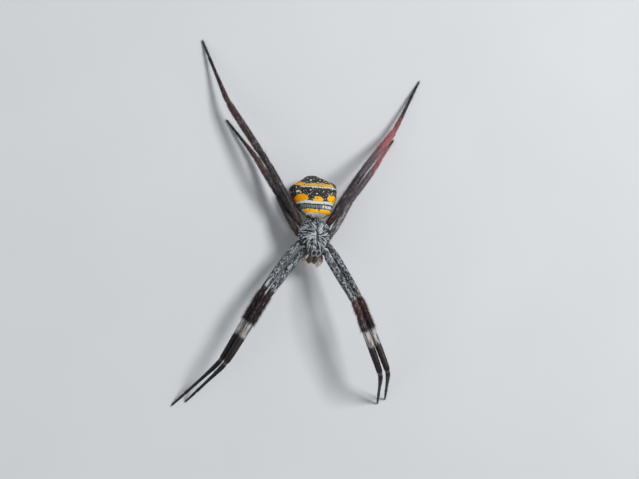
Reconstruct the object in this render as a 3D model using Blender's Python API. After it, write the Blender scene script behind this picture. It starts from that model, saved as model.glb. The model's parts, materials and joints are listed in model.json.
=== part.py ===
"""A female orb weaver spider of the silver-faced, banded kind (Argiope), life size.

She stands on the floor as she sits on her web: head towards -Y, the front body tipped
nose-up, the long abdomen sloping down behind, and the legs held in four pairs that make
an X. Every length below is in millimetres. The last step scales to metres.

Each leg is one smooth sweep along its own centreline, parted by thin cuts at the joints.
"""
import math

import bmesh
import bpy
from mathutils import Matrix, Vector

MM = 0.001
CUT = 0.06               # width of the thin cuts that part the body into named pieces
SKIRT = 0.02             # how far a socket stands off the eye in it

# --- the front body (cephalothorax) ---------------------------------------------------
COXA_LEVEL = 3.6         # height of the ring of hips above the floor
NOSE_UP = 15.0           # degrees that the front body is tipped up at the head
CARAPACE_FLOOR = 0.10    # level of the carapace's underside above the ring of hips
HIP_DROP = -0.30         # level of the hips' centrelines

# --- the abdomen ------------------------------------------------------------------------
ABDOMEN_LENGTH = 5.35
ABDOMEN_HALF_WIDTH = 2.75
ABDOMEN_TAIL_DOWN = 19.0  # degrees that it slopes down towards the tail
ABDOMEN_TURN = 7.8       # degrees that the tail swings to the spider's right
ABDOMEN_START = (0.27, 2.36, 0.42)  # middle of its front end, in the front body's frame

# --- the legs ---------------------------------------------------------------------------
LEG_SIDES = 10
COXA_RADIUS = 0.36
HIP_RADIUS = 0.34
FEMUR_RADIUS = 0.44
KNEE_RADIUS = 0.37
TIBIA_RADIUS = 0.39
SHIN_END_RADIUS = 0.34
METATARSUS_RADIUS = 0.27
TARSUS_RADIUS = 0.25
SOLE = 0.05              # height of the centreline where a foot meets the floor
BEND = 0.9               # how far from a joint its bend begins

# A leg's femur, tibia with patella, metatarsus and tarsus.
LEG_LENGTHS = {
    1: (6.5, 8.6, 5.4, 1.8),
    2: (6.7, 8.7, 5.8, 1.8),
    3: (5.0, 5.1, 3.8, 1.6),
    4: (7.7, 8.5, 6.2, 1.9),
}
LEG_THICKNESS = {1: 1.0, 2: 1.0, 3: 0.86, 4: 1.0}
# Where each pair's hip leaves the breast plate, and where the femur starts, on the left.
HIP_ROOT = {1: (0.86, -1.26), 2: (1.06, -0.44), 3: (1.06, 0.42), 4: (0.82, 1.22)}
HIP_END = {1: (1.42, -1.66), 2: (1.92, -0.66), 3: (1.98, 0.56), 4: (1.52, 1.62)}
# Heading of femur, tibia and foot, in degrees from straight ahead round to straight
# behind, and the rise of femur and tibia. The foot then drops to the floor.
LEG_POSE = {
    (1, "right"): ((35.5, 28, 36.5), (12, -2)),
    (1, "left"): ((28, 25.5, 29.5), (26.5, -3.5)),
    (2, "right"): ((33, 26, 41), (4, -3)),
    (2, "left"): ((30, 23, 34), (16, 8.5)),
    (3, "right"): ((154, 147, 139), (-15.5, -10)),
    (3, "left"): ((152.5, 146, 146), (-8, -6)),
    (4, "right"): ((145.5, 145, 156.5), (5, -11)),
    (4, "left"): ((154.5, 141, 154), (21, -27)),
}
SIDES = {"left": 1, "right": -1}

# --- the finishes -------------------------------------------------------------------------
FINISHES = {
    "silver_hair": ((0.62, 0.64, 0.66), 0.6),
    "abdomen_skin": ((0.75, 0.48, 0.06), 0.5),
    "mottled_leg": ((0.33, 0.32, 0.32), 0.6),
    "dark_leg": ((0.07, 0.04, 0.035), 0.5),
    "brown_mouthparts": ((0.32, 0.22, 0.16), 0.45),
    "pale_palp": ((0.62, 0.47, 0.42), 0.55),
    "dark_underside": ((0.10, 0.08, 0.07), 0.6),
    "eye_black": ((0.01, 0.01, 0.012), 0.08),
}


def clear_scene():
    for thing in list(bpy.data.objects):
        bpy.data.objects.remove(thing, do_unlink=True)


def finish(name):
    """The material of that name, made the first time it is asked for."""
    found = bpy.data.materials.get(name)
    if found:
        return found
    colour, roughness = FINISHES[name]
    made = bpy.data.materials.new(name)
    made.use_nodes = True
    shader = made.node_tree.nodes["Principled BSDF"]
    shader.inputs["Base Color"].default_value = (*colour, 1.0)
    shader.inputs["Roughness"].default_value = roughness
    return made


def mix(low, high, share):
    return low + (high - low) * share


def smooth_table(rows, position):
    """Row values at a position, read from a smooth curve through a few given rows."""
    last = len(rows) - 1
    index = 0
    while index < last - 1 and position > rows[index + 1][0]:
        index += 1
    before = rows[max(index - 1, 0)]
    start = rows[index]
    end = rows[index + 1]
    after = rows[min(index + 2, last)]
    span = end[0] - start[0]
    share = (position - start[0]) / span
    values = []
    for column in range(1, len(start)):
        slope_in = (end[column] - before[column]) / (end[0] - before[0]) * span
        slope_out = (after[column] - start[column]) / (after[0] - start[0]) * span
        a = 2 * share**3 - 3 * share**2 + 1
        b = share**3 - 2 * share**2 + share
        c = share**3 - share**2
        values.append(a * start[column] + b * slope_in + (1 - a) * end[column] + c * slope_out)
    return values


def loft(name, rings, finish_name):
    """A closed skin over a row of rings, with a flat face at each end."""
    mesh = bmesh.new()
    rows = [[mesh.verts.new(Vector(point) * MM) for point in ring] for ring in rings]
    count = len(rows[0])
    for low, high in zip(rows, rows[1:]):
        for side in range(count):
            following = (side + 1) % count
            mesh.faces.new((low[side], low[following], high[following], high[side]))
    mesh.faces.new(rows[0])
    mesh.faces.new(rows[-1])
    bmesh.ops.recalc_face_normals(mesh, faces=mesh.faces)
    bmesh.ops.triangulate(mesh, faces=mesh.faces)
    data = bpy.data.meshes.new(name)
    mesh.to_mesh(data)
    mesh.free()
    data.materials.append(finish(finish_name))
    data.shade_smooth()
    data.set_sharp_from_angle(angle=math.radians(40))
    piece = bpy.data.objects.new(name, data)
    bpy.context.collection.objects.link(piece)
    return piece


def signed_power(value, power):
    return math.copysign(abs(value) ** power, value)


# --- frames of the two halves of the body -------------------------------------------------
BODY_FRAME = Matrix.Translation((0, 0, COXA_LEVEL)) @ Matrix.Rotation(
    math.radians(-NOSE_UP), 4, "X")
ABDOMEN_FRAME = (Matrix.Translation(BODY_FRAME @ Vector(ABDOMEN_START))
                 @ Matrix.Rotation(math.radians(ABDOMEN_TURN), 4, "Z")
                 @ Matrix.Rotation(math.radians(-ABDOMEN_TAIL_DOWN), 4, "X"))


def in_frame(frame, ring):
    return [frame @ Vector(point) for point in ring]


# --- the carapace and what is under it ----------------------------------------------------
# Place along the body, half width and height of the top.
CARAPACE_ROWS = [
    (-2.22, 0.40, 0.44), (-2.02, 0.66, 0.80), (-1.60, 0.88, 1.04), (-1.00, 1.19, 1.12),
    (-0.40, 1.68, 1.18), (0.25, 1.93, 1.22), (0.95, 1.87, 1.14), (1.60, 1.46, 0.90),
    (2.02, 0.92, 0.64), (2.20, 0.50, 0.42),
]
CARAPACE_RINGS = 19
CARAPACE_ARC = 14        # steps over the dome of one ring
CARAPACE_SQUARENESS = 2.5


def carapace_ring(place):
    """A low dome with steep sides, flat below."""
    half_width, top = smooth_table(CARAPACE_ROWS, place)
    power = 2 / CARAPACE_SQUARENESS
    ring = []
    for step in range(CARAPACE_ARC + 1):
        turn = math.pi * step / CARAPACE_ARC
        across = half_width * signed_power(math.cos(turn), power)
        rise = (top - CARAPACE_FLOOR) * abs(math.sin(turn)) ** power
        ring.append((across, place, CARAPACE_FLOOR + rise))
    return in_frame(BODY_FRAME, ring)


def carapace():
    first, last = CARAPACE_ROWS[0][0], CARAPACE_ROWS[-1][0]
    rings = []
    for index in range(CARAPACE_RINGS):
        # Rings are closer together towards the two ends.
        share = (1 - math.cos(math.pi * index / (CARAPACE_RINGS - 1))) / 2
        rings.append(carapace_ring(mix(first, last, share)))
    return loft("carapace", rings, "silver_hair")


# Shield-shaped breast plate: place along the body and half width.
STERNUM_ROWS = [(-1.40, 0.34), (-1.05, 0.52), (-0.40, 0.66), (0.45, 0.62), (1.15, 0.34),
                (1.45, 0.16)]
STERNUM_TOP = CARAPACE_FLOOR - CUT
STERNUM_BOTTOM = -0.72
STERNUM_RINGS = 9


def sternum():
    """The block between the hips, a shield seen from below with a rounded belly."""
    rings = []
    for index in range(STERNUM_RINGS):
        place = mix(STERNUM_ROWS[0][0], STERNUM_ROWS[-1][0], index / (STERNUM_RINGS - 1))
        half_width = smooth_table(STERNUM_ROWS, place)[0]
        ring = [(-half_width, place, STERNUM_TOP), (half_width, place, STERNUM_TOP)]
        for step in range(7):
            turn = math.pi * step / 6
            depth = mix(0.25, STERNUM_BOTTOM, abs(math.sin(turn)) ** 0.8 * 0.7 + 0.3)
            ring.append((half_width * math.cos(turn), place, depth))
        rings.append(in_frame(BODY_FRAME, ring))
    return loft("sternum", rings, "dark_underside")


# --- tubes along a bent centreline --------------------------------------------------------
def centreline(joints, bend):
    """Points along straight runs between joints, with each joint turned into a soft bend."""
    points = [joints[0]]
    for before, joint, after in zip(joints, joints[1:], joints[2:]):
        back = before - joint
        ahead = after - joint
        start = joint + back * min(bend / back.length, 0.45)
        end = joint + ahead * min(bend / ahead.length, 0.45)
        for step in range(7):
            share = step / 6
            points.append(start.lerp(joint, share).lerp(joint.lerp(end, share), share))
    points.append(joints[-1])
    return points


class Route:
    """A centreline that can be read at any distance along it."""

    def __init__(self, joints, bend):
        self.points = centreline(joints, bend)
        self.marks = [0.0]
        for start, end in zip(self.points, self.points[1:]):
            self.marks.append(self.marks[-1] + (end - start).length)
        self.length = self.marks[-1]

    def at(self, distance):
        distance = min(max(distance, 0.0), self.length)
        index = 0
        while index < len(self.marks) - 2 and distance > self.marks[index + 1]:
            index += 1
        share = (distance - self.marks[index]) / (self.marks[index + 1] - self.marks[index])
        return self.points[index].lerp(self.points[index + 1], share)

    def direction(self, distance):
        reach = 0.08
        return (self.at(distance + reach) - self.at(distance - reach)).normalized()

    def nearest(self, joint):
        """Distance along the route to the point closest to a joint."""
        steps = 600
        return min((self.length * step / steps for step in range(steps + 1)),
                   key=lambda distance: (self.at(distance) - joint).length)

    def ring(self, distance, radius, sides):
        """A round section, square to the route. Its first point is the uppermost one."""
        along = self.direction(distance)
        across = along.cross(Vector((0, 0, 1))).normalized()
        up = across.cross(along)
        centre = self.at(distance)
        points = []
        for side in range(sides):
            turn = 2 * math.pi * side / sides
            points.append(centre + radius * (up * math.cos(turn) + across * math.sin(turn)))
        return points


def swelling(start, middle, end, peak=0.4):
    """Radius along a limb that swells between its two ends, as a function of its share."""
    def radius(share):
        base = mix(start, end, share)
        bump = math.sin(math.pi * share ** (math.log(0.5) / math.log(peak)))
        return base + (middle - mix(start, end, peak)) * bump
    return radius


def limb(name, route, start, end, radius, rings, finish_name):
    """One length of a limb, closed at both cuts."""
    rows = []
    for index in range(rings):
        share = index / (rings - 1)
        rows.append(route.ring(mix(start, end, share), radius(share), LEG_SIDES))
    return loft(name, rows, finish_name)


def flatten_sole(piece):
    """Cut a foot off level with the floor, so that it stands on a small flat."""
    mesh = bmesh.new()
    mesh.from_mesh(piece.data)
    everything = mesh.verts[:] + mesh.edges[:] + mesh.faces[:]
    bmesh.ops.bisect_plane(mesh, geom=everything, plane_co=(0, 0, 0), plane_no=(0, 0, -1),
                           clear_outer=True, dist=1e-8)
    rim = [edge for edge in mesh.edges if edge.is_boundary]
    bmesh.ops.contextual_create(mesh, geom=rim)
    bmesh.ops.recalc_face_normals(mesh, faces=mesh.faces)
    bmesh.ops.triangulate(mesh, faces=mesh.faces)
    mesh.to_mesh(piece.data)
    mesh.free()


# --- the legs -----------------------------------------------------------------------------
def toward(heading, rise, side):
    """Unit vector: 0 degrees of heading is straight ahead, 90 is out to that side."""
    turn, lift = math.radians(heading), math.radians(rise)
    return Vector((side * math.sin(turn) * math.cos(lift), -math.cos(turn) * math.cos(lift),
                   math.sin(lift)))


def leg_joints(pair, side_name):
    """Breast plate, hip, knee, shin end, ankle and toe of one leg."""
    side = SIDES[side_name]
    root = BODY_FRAME @ Vector((side * HIP_ROOT[pair][0], HIP_ROOT[pair][1], HIP_DROP))
    hip = BODY_FRAME @ Vector((side * HIP_END[pair][0], HIP_END[pair][1], HIP_DROP))
    femur, tibia, metatarsus, tarsus = LEG_LENGTHS[pair]
    headings, rises = LEG_POSE[pair, side_name]
    knee = hip + toward(headings[0], rises[0], side) * femur
    shin_end = knee + toward(headings[1], rises[1], side) * tibia
    foot = metatarsus + tarsus
    drop = math.degrees(math.asin((SOLE - shin_end.z) / foot))
    ankle = shin_end + toward(headings[2], drop, side) * metatarsus
    toe = shin_end + toward(headings[2], drop, side) * foot
    return [root, hip, knee, shin_end, ankle, toe]


LEG_PIECES = [
    # name, finish, radius along it, rings
    ("coxa", "dark_leg", swelling(COXA_RADIUS, COXA_RADIUS, HIP_RADIUS), 3),
    ("femur", "mottled_leg", swelling(HIP_RADIUS, FEMUR_RADIUS, KNEE_RADIUS), 7),
    ("tibia", "dark_leg", swelling(KNEE_RADIUS, TIBIA_RADIUS, SHIN_END_RADIUS, 0.6), 7),
    ("metatarsus", "dark_leg",
     swelling(METATARSUS_RADIUS, METATARSUS_RADIUS, TARSUS_RADIUS), 5),
    ("tarsus", "dark_leg", swelling(TARSUS_RADIUS, TARSUS_RADIUS, TARSUS_RADIUS), 4),
]


def leg(pair, side_name):
    joints = leg_joints(pair, side_name)
    route = Route(joints, BEND)
    cuts = [0.0] + [route.nearest(joint) for joint in joints[1:-1]] + [route.length]
    for (piece, finish_name, radius, rings), start, end in zip(LEG_PIECES, cuts, cuts[1:]):
        thickness = LEG_THICKNESS[pair] if piece in ("femur", "tibia") else 1.0

        def scaled(share, radius=radius, thickness=thickness):
            return radius(share) * thickness
        name = f"leg_{pair}_{side_name}_{piece}"
        made = limb(name, route, start + CUT / 2, end - CUT / 2, scaled, rings, finish_name)
    flatten_sole(made)


# --- jaws, fangs and feelers --------------------------------------------------------------
JAW_OFFSET = 0.31
JAW_PLACE = -2.02
JAW_TOP = CARAPACE_FLOOR - CUT
JAW_LENGTH = 1.75
JAW_SIDES = 12
JAW_ROWS = [(0.0, 0.21, 0.25), (0.12, 0.27, 0.37), (0.35, 0.29, 0.42), (0.65, 0.27, 0.38),
            (0.88, 0.22, 0.28), (1.0, 0.14, 0.17)]
FANG_LENGTH = 0.55


def jaw_and_fang(side_name):
    """A stout upright jaw, bulging forwards, with a small fang folded in under it."""
    side = SIDES[side_name]
    rings = []
    for index in range(9):
        share = index / 8
        half_width, half_depth = smooth_table(JAW_ROWS, share)
        lean = -0.12 * math.sin(math.pi * share) - 0.10 * share
        ring = []
        for step in range(JAW_SIDES):
            turn = 2 * math.pi * step / JAW_SIDES
            ring.append((side * JAW_OFFSET + half_width * math.cos(turn),
                         JAW_PLACE + lean + half_depth * math.sin(turn),
                         JAW_TOP - JAW_LENGTH * share))
        rings.append(in_frame(BODY_FRAME, ring))
    loft(f"chelicera_{side_name}", rings, "brown_mouthparts")
    base_level = JAW_TOP - JAW_LENGTH - CUT - 0.10
    base = Vector((side * JAW_OFFSET, JAW_PLACE - 0.05, base_level))
    tip = base + Vector((-side * 0.24, 0.38, -0.12))
    bow = base.lerp(tip, 0.5) - Vector((0, 0, 0.08))
    joints = [BODY_FRAME @ point for point in (base, bow, tip)]
    route = Route(joints, FANG_LENGTH / 3)
    rows = [route.ring(route.length * share, mix(0.10, 0.04, share), 8)
            for share in (0.0, 0.35, 0.7, 1.0)]
    loft(f"fang_{side_name}", rows, "brown_mouthparts")


PALP_JOINTS = ((0.48, -1.46, -1.00), (1.00, -1.62, -1.02), (1.08, -1.98, -0.90),
               (0.88, -2.50, -0.98), (0.54, -2.76, -1.20))
PALP_RADIUS = 0.25


def feeler(side_name):
    """A short leg-like feeler, bent round beside the jaws, with a blunt tip."""
    side = SIDES[side_name]
    joints = [BODY_FRAME @ Vector((side * x, y, z)) for x, y, z in PALP_JOINTS]
    route = Route(joints, 0.35)
    limb(f"pedipalp_{side_name}", route, 0.0, route.length,
         swelling(PALP_RADIUS * 0.9, PALP_RADIUS * 1.1, PALP_RADIUS * 0.7), 12, "pale_palp")


# --- eyes ---------------------------------------------------------------------------------
# Side offset, place along the body, radius: two rows of four, seen from the front.
EYES = {
    "rear_middle": (0.26, -1.90, 0.12),
    "front_middle": (0.20, -2.13, 0.10),
    "rear_side": (0.62, -1.70, 0.09),
    "front_side": (0.56, -1.89, 0.075),
}


def dome_height(across, place):
    """Level of the carapace's top at a point."""
    half_width, top = smooth_table(CARAPACE_ROWS, place)
    share = min(abs(across) / half_width, 1.0)
    rise = (1 - share ** CARAPACE_SQUARENESS) ** (1 / CARAPACE_SQUARENESS)
    return CARAPACE_FLOOR + (top - CARAPACE_FLOOR) * rise


def ball(name, centre, radius, finish_name):
    mesh = bmesh.new()
    bmesh.ops.create_icosphere(mesh, subdivisions=2, radius=radius * MM)
    bmesh.ops.translate(mesh, verts=mesh.verts, vec=Vector(centre) * MM)
    data = bpy.data.meshes.new(name)
    mesh.to_mesh(data)
    mesh.free()
    data.materials.append(finish(finish_name))
    data.shade_smooth()
    piece = bpy.data.objects.new(name, data)
    bpy.context.collection.objects.link(piece)
    return piece


def carve(piece, cutter):
    """Cut a socket. The cutter itself isn't a part."""
    cutter.hide_render = True
    cutter.display_type = "WIRE"
    cut = piece.modifiers.new(cutter.name, "BOOLEAN")
    cut.operation = "DIFFERENCE"
    cut.solver = "EXACT"
    cut.object = cutter


def eyes(shell):
    for row_name, (offset, place, radius) in EYES.items():
        for side_name, side in SIDES.items():
            level = dome_height(offset, place)
            centre = BODY_FRAME @ Vector((side * offset, place, level - radius * 0.15))
            ball(f"eye_{row_name}_{side_name}", centre, radius, "eye_black")
            socket = ball(f"socket_{row_name}_{side_name}", centre, radius + SKIRT, "silver_hair")
            carve(shell, socket)


# --- waist, abdomen and spinnerets --------------------------------------------------------
# Share of the length, share of the greatest half width, height above and depth below the axis.
ABDOMEN_ROWS = [
    (0.00, 0.26, 0.40, 0.36), (0.03, 0.48, 0.78, 0.70), (0.10, 0.58, 1.08, 1.02),
    (0.26, 0.79, 1.34, 1.46), (0.44, 0.95, 1.48, 1.76), (0.60, 1.00, 1.48, 1.86),
    (0.73, 0.98, 1.30, 1.72), (0.80, 0.83, 1.10, 1.48), (0.87, 0.54, 0.86, 1.10),
    (0.92, 0.38, 0.66, 0.80), (0.97, 0.25, 0.42, 0.46), (1.00, 0.11, 0.18, 0.20),
]
ABDOMEN_RINGS = 22
ABDOMEN_SIDES = 24
ABDOMEN_SQUARENESS = 2.3


def abdomen_section(share):
    half_width, top, bottom = smooth_table(ABDOMEN_ROWS, share)
    return half_width * ABDOMEN_HALF_WIDTH, top, bottom


def abdomen():
    """Five-cornered from above: blunt front, widest past the middle, tapered tail."""
    rings = []
    power = 2 / ABDOMEN_SQUARENESS
    for index in range(ABDOMEN_RINGS):
        share = (1 - math.cos(math.pi * index / (ABDOMEN_RINGS - 1))) / 2
        half_width, top, bottom = abdomen_section(share)
        ring = []
        for step in range(ABDOMEN_SIDES):
            turn = 2 * math.pi * step / ABDOMEN_SIDES
            height = top if math.sin(turn) > 0 else bottom
            ring.append((half_width * signed_power(math.cos(turn), power),
                         share * ABDOMEN_LENGTH,
                         height * signed_power(math.sin(turn), power)))
        rings.append(in_frame(ABDOMEN_FRAME, ring))
    return loft("abdomen", rings, "abdomen_skin")


SPINNERET_SHARE = 0.80
SPINNERET_LENGTH = 0.5


def spinnerets():
    """The short cone of spinning organs under the tail."""
    bottom = abdomen_section(SPINNERET_SHARE)[2]
    base = Vector((0, SPINNERET_SHARE * ABDOMEN_LENGTH, -bottom - 0.04))
    tip = base + Vector((0, 0.9, -0.44)) * SPINNERET_LENGTH
    route = Route([ABDOMEN_FRAME @ base, ABDOMEN_FRAME @ base.lerp(tip, 0.5),
                   ABDOMEN_FRAME @ tip], 0.2)
    rows = [route.ring(route.length * share, radius, 10)
                for share, radius in ((0.0, 0.32), (0.5, 0.28), (1.0, 0.17))]
    return loft("spinnerets", rows, "dark_underside")


PEDICEL_LEVEL = -0.18
PEDICEL_RADIUS = 0.25


def pedicel():
    """The narrow waist, hidden between the two halves of the body."""
    start = BODY_FRAME @ Vector((0, STERNUM_ROWS[-1][0] + CUT, PEDICEL_LEVEL))
    end = BODY_FRAME @ Vector((0, ABDOMEN_START[1] + CUT, PEDICEL_LEVEL))
    route = Route([start, start.lerp(end, 0.5), end], 0.2)
    rows = [route.ring(route.length * share, PEDICEL_RADIUS, 10) for share in (0.0, 0.5, 1.0)]
    return loft("pedicel", rows, "dark_underside")


def centre_on_floor():
    """Put the origin under the middle of the whole animal's box, on the floor."""
    pieces = [thing for thing in bpy.data.objects if thing.type == "MESH"]
    solids = [thing for thing in pieces if not thing.hide_render]
    points = [vertex.co for thing in solids for vertex in thing.data.vertices]
    middle = Vector((min(p.x for p in points) + max(p.x for p in points),
                     min(p.y for p in points) + max(p.y for p in points), 0)) / 2
    for thing in pieces:
        thing.data.transform(Matrix.Translation(-middle))


def main():
    clear_scene()
    shell = carapace()
    eyes(shell)
    sternum()
    pedicel()
    abdomen()
    spinnerets()
    for side_name in SIDES:
        jaw_and_fang(side_name)
        feeler(side_name)
        for pair in LEG_LENGTHS:
            leg(pair, side_name)
    centre_on_floor()


main()
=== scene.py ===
# %% [markdown]
# # An orb weaver spider, life size
#
# A museum model of a female orb weaver of the silver-faced, banded kind: about a centimetre
# of body and eight long legs, held in four pairs that make an X. The solid model already
# gives each part its place and size. These cells give it skin, marks, eyes and hair.
#
# Everything is worked out in millimetres, because an eye here is a quarter of a millimetre
# across, and each finished mesh is scaled to metres once, at its end.

# %% Load the solid model
import json
import math

import bmesh
import bpy
import numpy as np
from mathutils import Matrix, Vector

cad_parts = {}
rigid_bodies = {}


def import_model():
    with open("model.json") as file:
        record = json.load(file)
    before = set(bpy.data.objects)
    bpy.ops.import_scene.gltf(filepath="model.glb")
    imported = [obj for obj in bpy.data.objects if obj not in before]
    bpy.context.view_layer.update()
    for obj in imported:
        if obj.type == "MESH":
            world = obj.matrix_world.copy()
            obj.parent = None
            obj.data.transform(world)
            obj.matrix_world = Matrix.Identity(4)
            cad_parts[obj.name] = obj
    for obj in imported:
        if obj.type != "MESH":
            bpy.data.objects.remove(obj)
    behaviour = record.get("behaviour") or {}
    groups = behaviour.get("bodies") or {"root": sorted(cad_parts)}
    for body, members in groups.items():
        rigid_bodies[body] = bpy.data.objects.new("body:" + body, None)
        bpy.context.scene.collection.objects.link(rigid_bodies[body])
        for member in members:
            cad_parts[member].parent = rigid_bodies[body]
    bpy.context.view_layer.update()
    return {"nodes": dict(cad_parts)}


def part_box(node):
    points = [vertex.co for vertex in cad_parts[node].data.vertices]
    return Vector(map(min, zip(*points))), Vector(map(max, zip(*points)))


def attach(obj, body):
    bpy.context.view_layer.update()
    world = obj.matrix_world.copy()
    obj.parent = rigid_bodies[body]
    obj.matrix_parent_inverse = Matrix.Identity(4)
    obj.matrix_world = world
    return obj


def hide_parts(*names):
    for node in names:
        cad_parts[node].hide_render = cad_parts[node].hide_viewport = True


for leftover in list(bpy.data.objects):
    bpy.data.objects.remove(leftover, do_unlink=True)
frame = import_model()
MM = 0.001


def box_of(node):
    """Lowest and highest corner of a node of the solid model, in millimetres."""
    return np.array([corner[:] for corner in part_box(node)]) / MM


print("solids:", len(frame["nodes"]), "nodes; carapace's corners in mm:",
      box_of("carapace").round(2).tolist())

# %% [markdown]
# ## Reading the solids
#
# A leg's skin has to follow the leg's solids, so the solids are measured first. A plane is
# laid across a solid, and the middle of the cut is a point of that limb's centreline. Typing
# the centrelines in again would also work, but it would go stale if a solid moved.

# %% Cut a solid with a plane
def normalised(vectors):
    return vectors / np.maximum(np.linalg.norm(vectors, axis=-1, keepdims=True), 1e-9)


def cut_centre(corners, faces, origin, direction):
    """Middle of the outline where a plane crosses a solid, and the outline's radius."""
    level = (corners - origin) @ direction
    sides = level[faces]
    starts = faces[(sides.min(1) < 0) & (sides.max(1) >= 0)]
    ends = np.roll(starts, -1, axis=1)
    below, above = level[starts], level[ends]
    crossed = (below < 0) != (above < 0)
    share = np.where(crossed, below / np.where(crossed, below - above, 1), 0)
    points = corners[starts] + (corners[ends] - corners[starts]) * share[..., None]
    order = np.argsort(~crossed, axis=1, kind="stable")[:, :2]
    pair = np.take_along_axis(points, order[..., None], axis=1)
    length = np.linalg.norm(pair[:, 1] - pair[:, 0], axis=1)
    middle = (pair.mean(1) * length[:, None]).sum(0) / length.sum()
    return middle, length.sum() / (2 * math.pi)


def limb_centres(node, count, outward_from):
    """Centres and radii at even shares of one limb solid, from its inner end outwards."""
    mesh = frame["nodes"][node].data
    corners = np.array([corner.co[:] for corner in mesh.vertices]) / MM
    faces = np.array([face.vertices[:] for face in mesh.polygons])
    middle = corners.mean(0)
    axis = np.linalg.svd(corners - middle)[2][0]
    if (middle - outward_from) @ axis < 0:
        axis = -axis
    reach = (corners - middle) @ axis
    shares = np.linspace(0.5 / count, 1 - 0.5 / count, count)
    places = reach.min() + (reach.max() - reach.min()) * shares
    centres = np.array([cut_centre(corners, faces, middle + axis * t, axis)[0] for t in places])
    slopes = np.gradient(centres, axis=0) if count > 2 else np.tile(axis, (count, 1))
    cuts = [cut_centre(corners, faces, c, d) for c, d in zip(centres, normalised(slopes))]
    return np.array([cut[0] for cut in cuts]), np.array([cut[1] for cut in cuts]), shares


print("femur radii, mm:", limb_centres("leg_1_left_femur", 9, np.zeros(3))[1].round(2))

# %% [markdown]
# ## Shapes from rows of numbers
#
# Each part of the body is a loft: a row of rings with a skin stretched over them. A part's
# rings come from a few rows of sizes, with a smooth curve read through the rows. The same
# rows gave the solids, and here the skin is drawn in by the depth of the coat, so that hair
# and skin together make the solid's outline.
#
# Each point of a loft also carries what hair and colour need later:
#
# - mark: its place on the part, which the markings are drawn by
# - lie: the way that hair lies there
# - unwrap: its place on a flat map of the part
# - hair: how dense the coat is there
# - kind: which part it belongs to, for the materials

# %% Smooth rows
COAT_DEPTH = 0.05        # how far the skin lies inside the solids
NOSE_UP = 15.0           # degrees that the front body is tipped up at the head


def smooth_rows(rows, at):
    """Each column of the rows, read at places between them by a smooth curve."""
    rows = np.array(rows, float)
    marks = rows[:, 0]
    at = np.clip(np.asarray(at, float), marks[0], marks[-1])
    slopes = np.gradient(rows[:, 1:], marks, axis=0)
    index = np.clip(np.searchsorted(marks, at) - 1, 0, len(marks) - 2)
    span = (marks[index + 1] - marks[index])[..., None]
    t = (at - marks[index])[..., None] / span
    start, end = rows[index, 1:], rows[index + 1, 1:]
    return ((2 * t**3 - 3 * t**2 + 1) * start + (t**3 - 2 * t**2 + t) * span * slopes[index]
            + (3 * t**2 - 2 * t**3) * end + (t**3 - t**2) * span * slopes[index + 1])


def even_ends(count):
    """Shares from 0 to 1, closer together towards the two ends."""
    return (1 - np.cos(np.linspace(0, math.pi, count))) / 2


def turned(degrees, axis):
    return np.array(Matrix.Rotation(math.radians(degrees), 3, axis))


def power_of(value, power):
    return np.sign(value) * np.abs(value) ** power


BODY_TURN = turned(-NOSE_UP, "X")
print("front body tipped up", NOSE_UP, "degrees, skin", COAT_DEPTH, "mm inside the solids")

# %% From a grid of points to a mesh
def add_object(name, data):
    thing = bpy.data.objects.new(name, data)
    bpy.context.collection.objects.link(thing)
    return thing


def fill_field(mesh, name, values):
    """Store a number or a vector on each point of a mesh."""
    kind, prop = ("FLOAT", "value") if values.ndim == 1 else ("FLOAT_VECTOR", "vector")
    stored = mesh.attributes.new(name, kind, "POINT")
    stored.data.foreach_set(prop, values.astype(np.float32).ravel())


def new_piece(name, points, faces, fields=None):
    """A mesh object, with its fields stored on its points."""
    mesh = bpy.data.meshes.new(name)
    mesh.from_pydata(points.reshape(-1, 3).tolist(), [], faces)
    for field_name, values in (fields or {}).items():
        flat = values.reshape(-1, 3) if values.ndim == points.ndim else values.reshape(-1)
        fill_field(mesh, field_name, flat)
    return add_object(name, mesh)


def face_outwards(mesh):
    build = bmesh.new()
    build.from_mesh(mesh)
    bmesh.ops.recalc_face_normals(build, faces=build.faces)
    build.to_mesh(mesh)
    build.free()


def filled(shape, *values):
    """A grid of vectors from values that are each spread over the grid."""
    return np.stack([np.broadcast_to(value, shape) for value in values], -1)


def inset(share):
    """A share of the flat map, kept off its edges."""
    return 0.02 + 0.96 * share


def tube_faces(rings, columns):
    """The sides of a closed tube, and a cap at each end."""
    corner = np.arange(rings * columns).reshape(rings, columns)
    onward = np.roll(corner, -1, axis=1)
    sides = np.stack([corner[:-1], onward[:-1], onward[1:], corner[1:]], -1).reshape(-1, 4)
    return sides.tolist() + [corner[0, ::-1].tolist(), corner[-1].tolist()]


print("a tube of 3 rings of 8 points has", len(tube_faces(3, 8)), "faces")

# %% Lofts, and directions on them
COATS = {}               # part name: (grid of points, fields) that its hair grows on


def loft(name, points, kind, mark, lie=(0.0, 1.0, 0.0), unwrap=(0.0, 0.0), hair=0.0):
    """A closed skin over a grid whose last column repeats its first, capped at both ends."""
    rings, columns = shape = points.shape[:2]
    fields = {"mark": mark, "lie": np.broadcast_to(lie, points.shape),
              "unwrap": filled(shape, *unwrap, 0.0), "hair": np.broadcast_to(hair, shape),
              "kind": np.full(shape, float(kind))}
    COATS[name] = (points, fields)
    kept = {field_name: values[:, :-1] for field_name, values in fields.items()}
    piece = new_piece(name, points[:, :-1], tube_faces(rings, columns - 1), kept)
    face_outwards(piece.data)
    return piece


def outward(points):
    """Unit normals of a grid, pointing away from each ring's own middle."""
    normal = normalised(np.cross(np.gradient(points, axis=0), np.gradient(points, axis=1)))
    away = points - points.mean(1, keepdims=True)
    return normal * np.sign((normal * away).sum(-1).mean())


def laid_flat(direction, normal):
    """A direction with the part along the normal taken out, so that it lies on the skin."""
    return normalised(direction - (direction * normal).sum(-1, keepdims=True) * normal)


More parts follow.
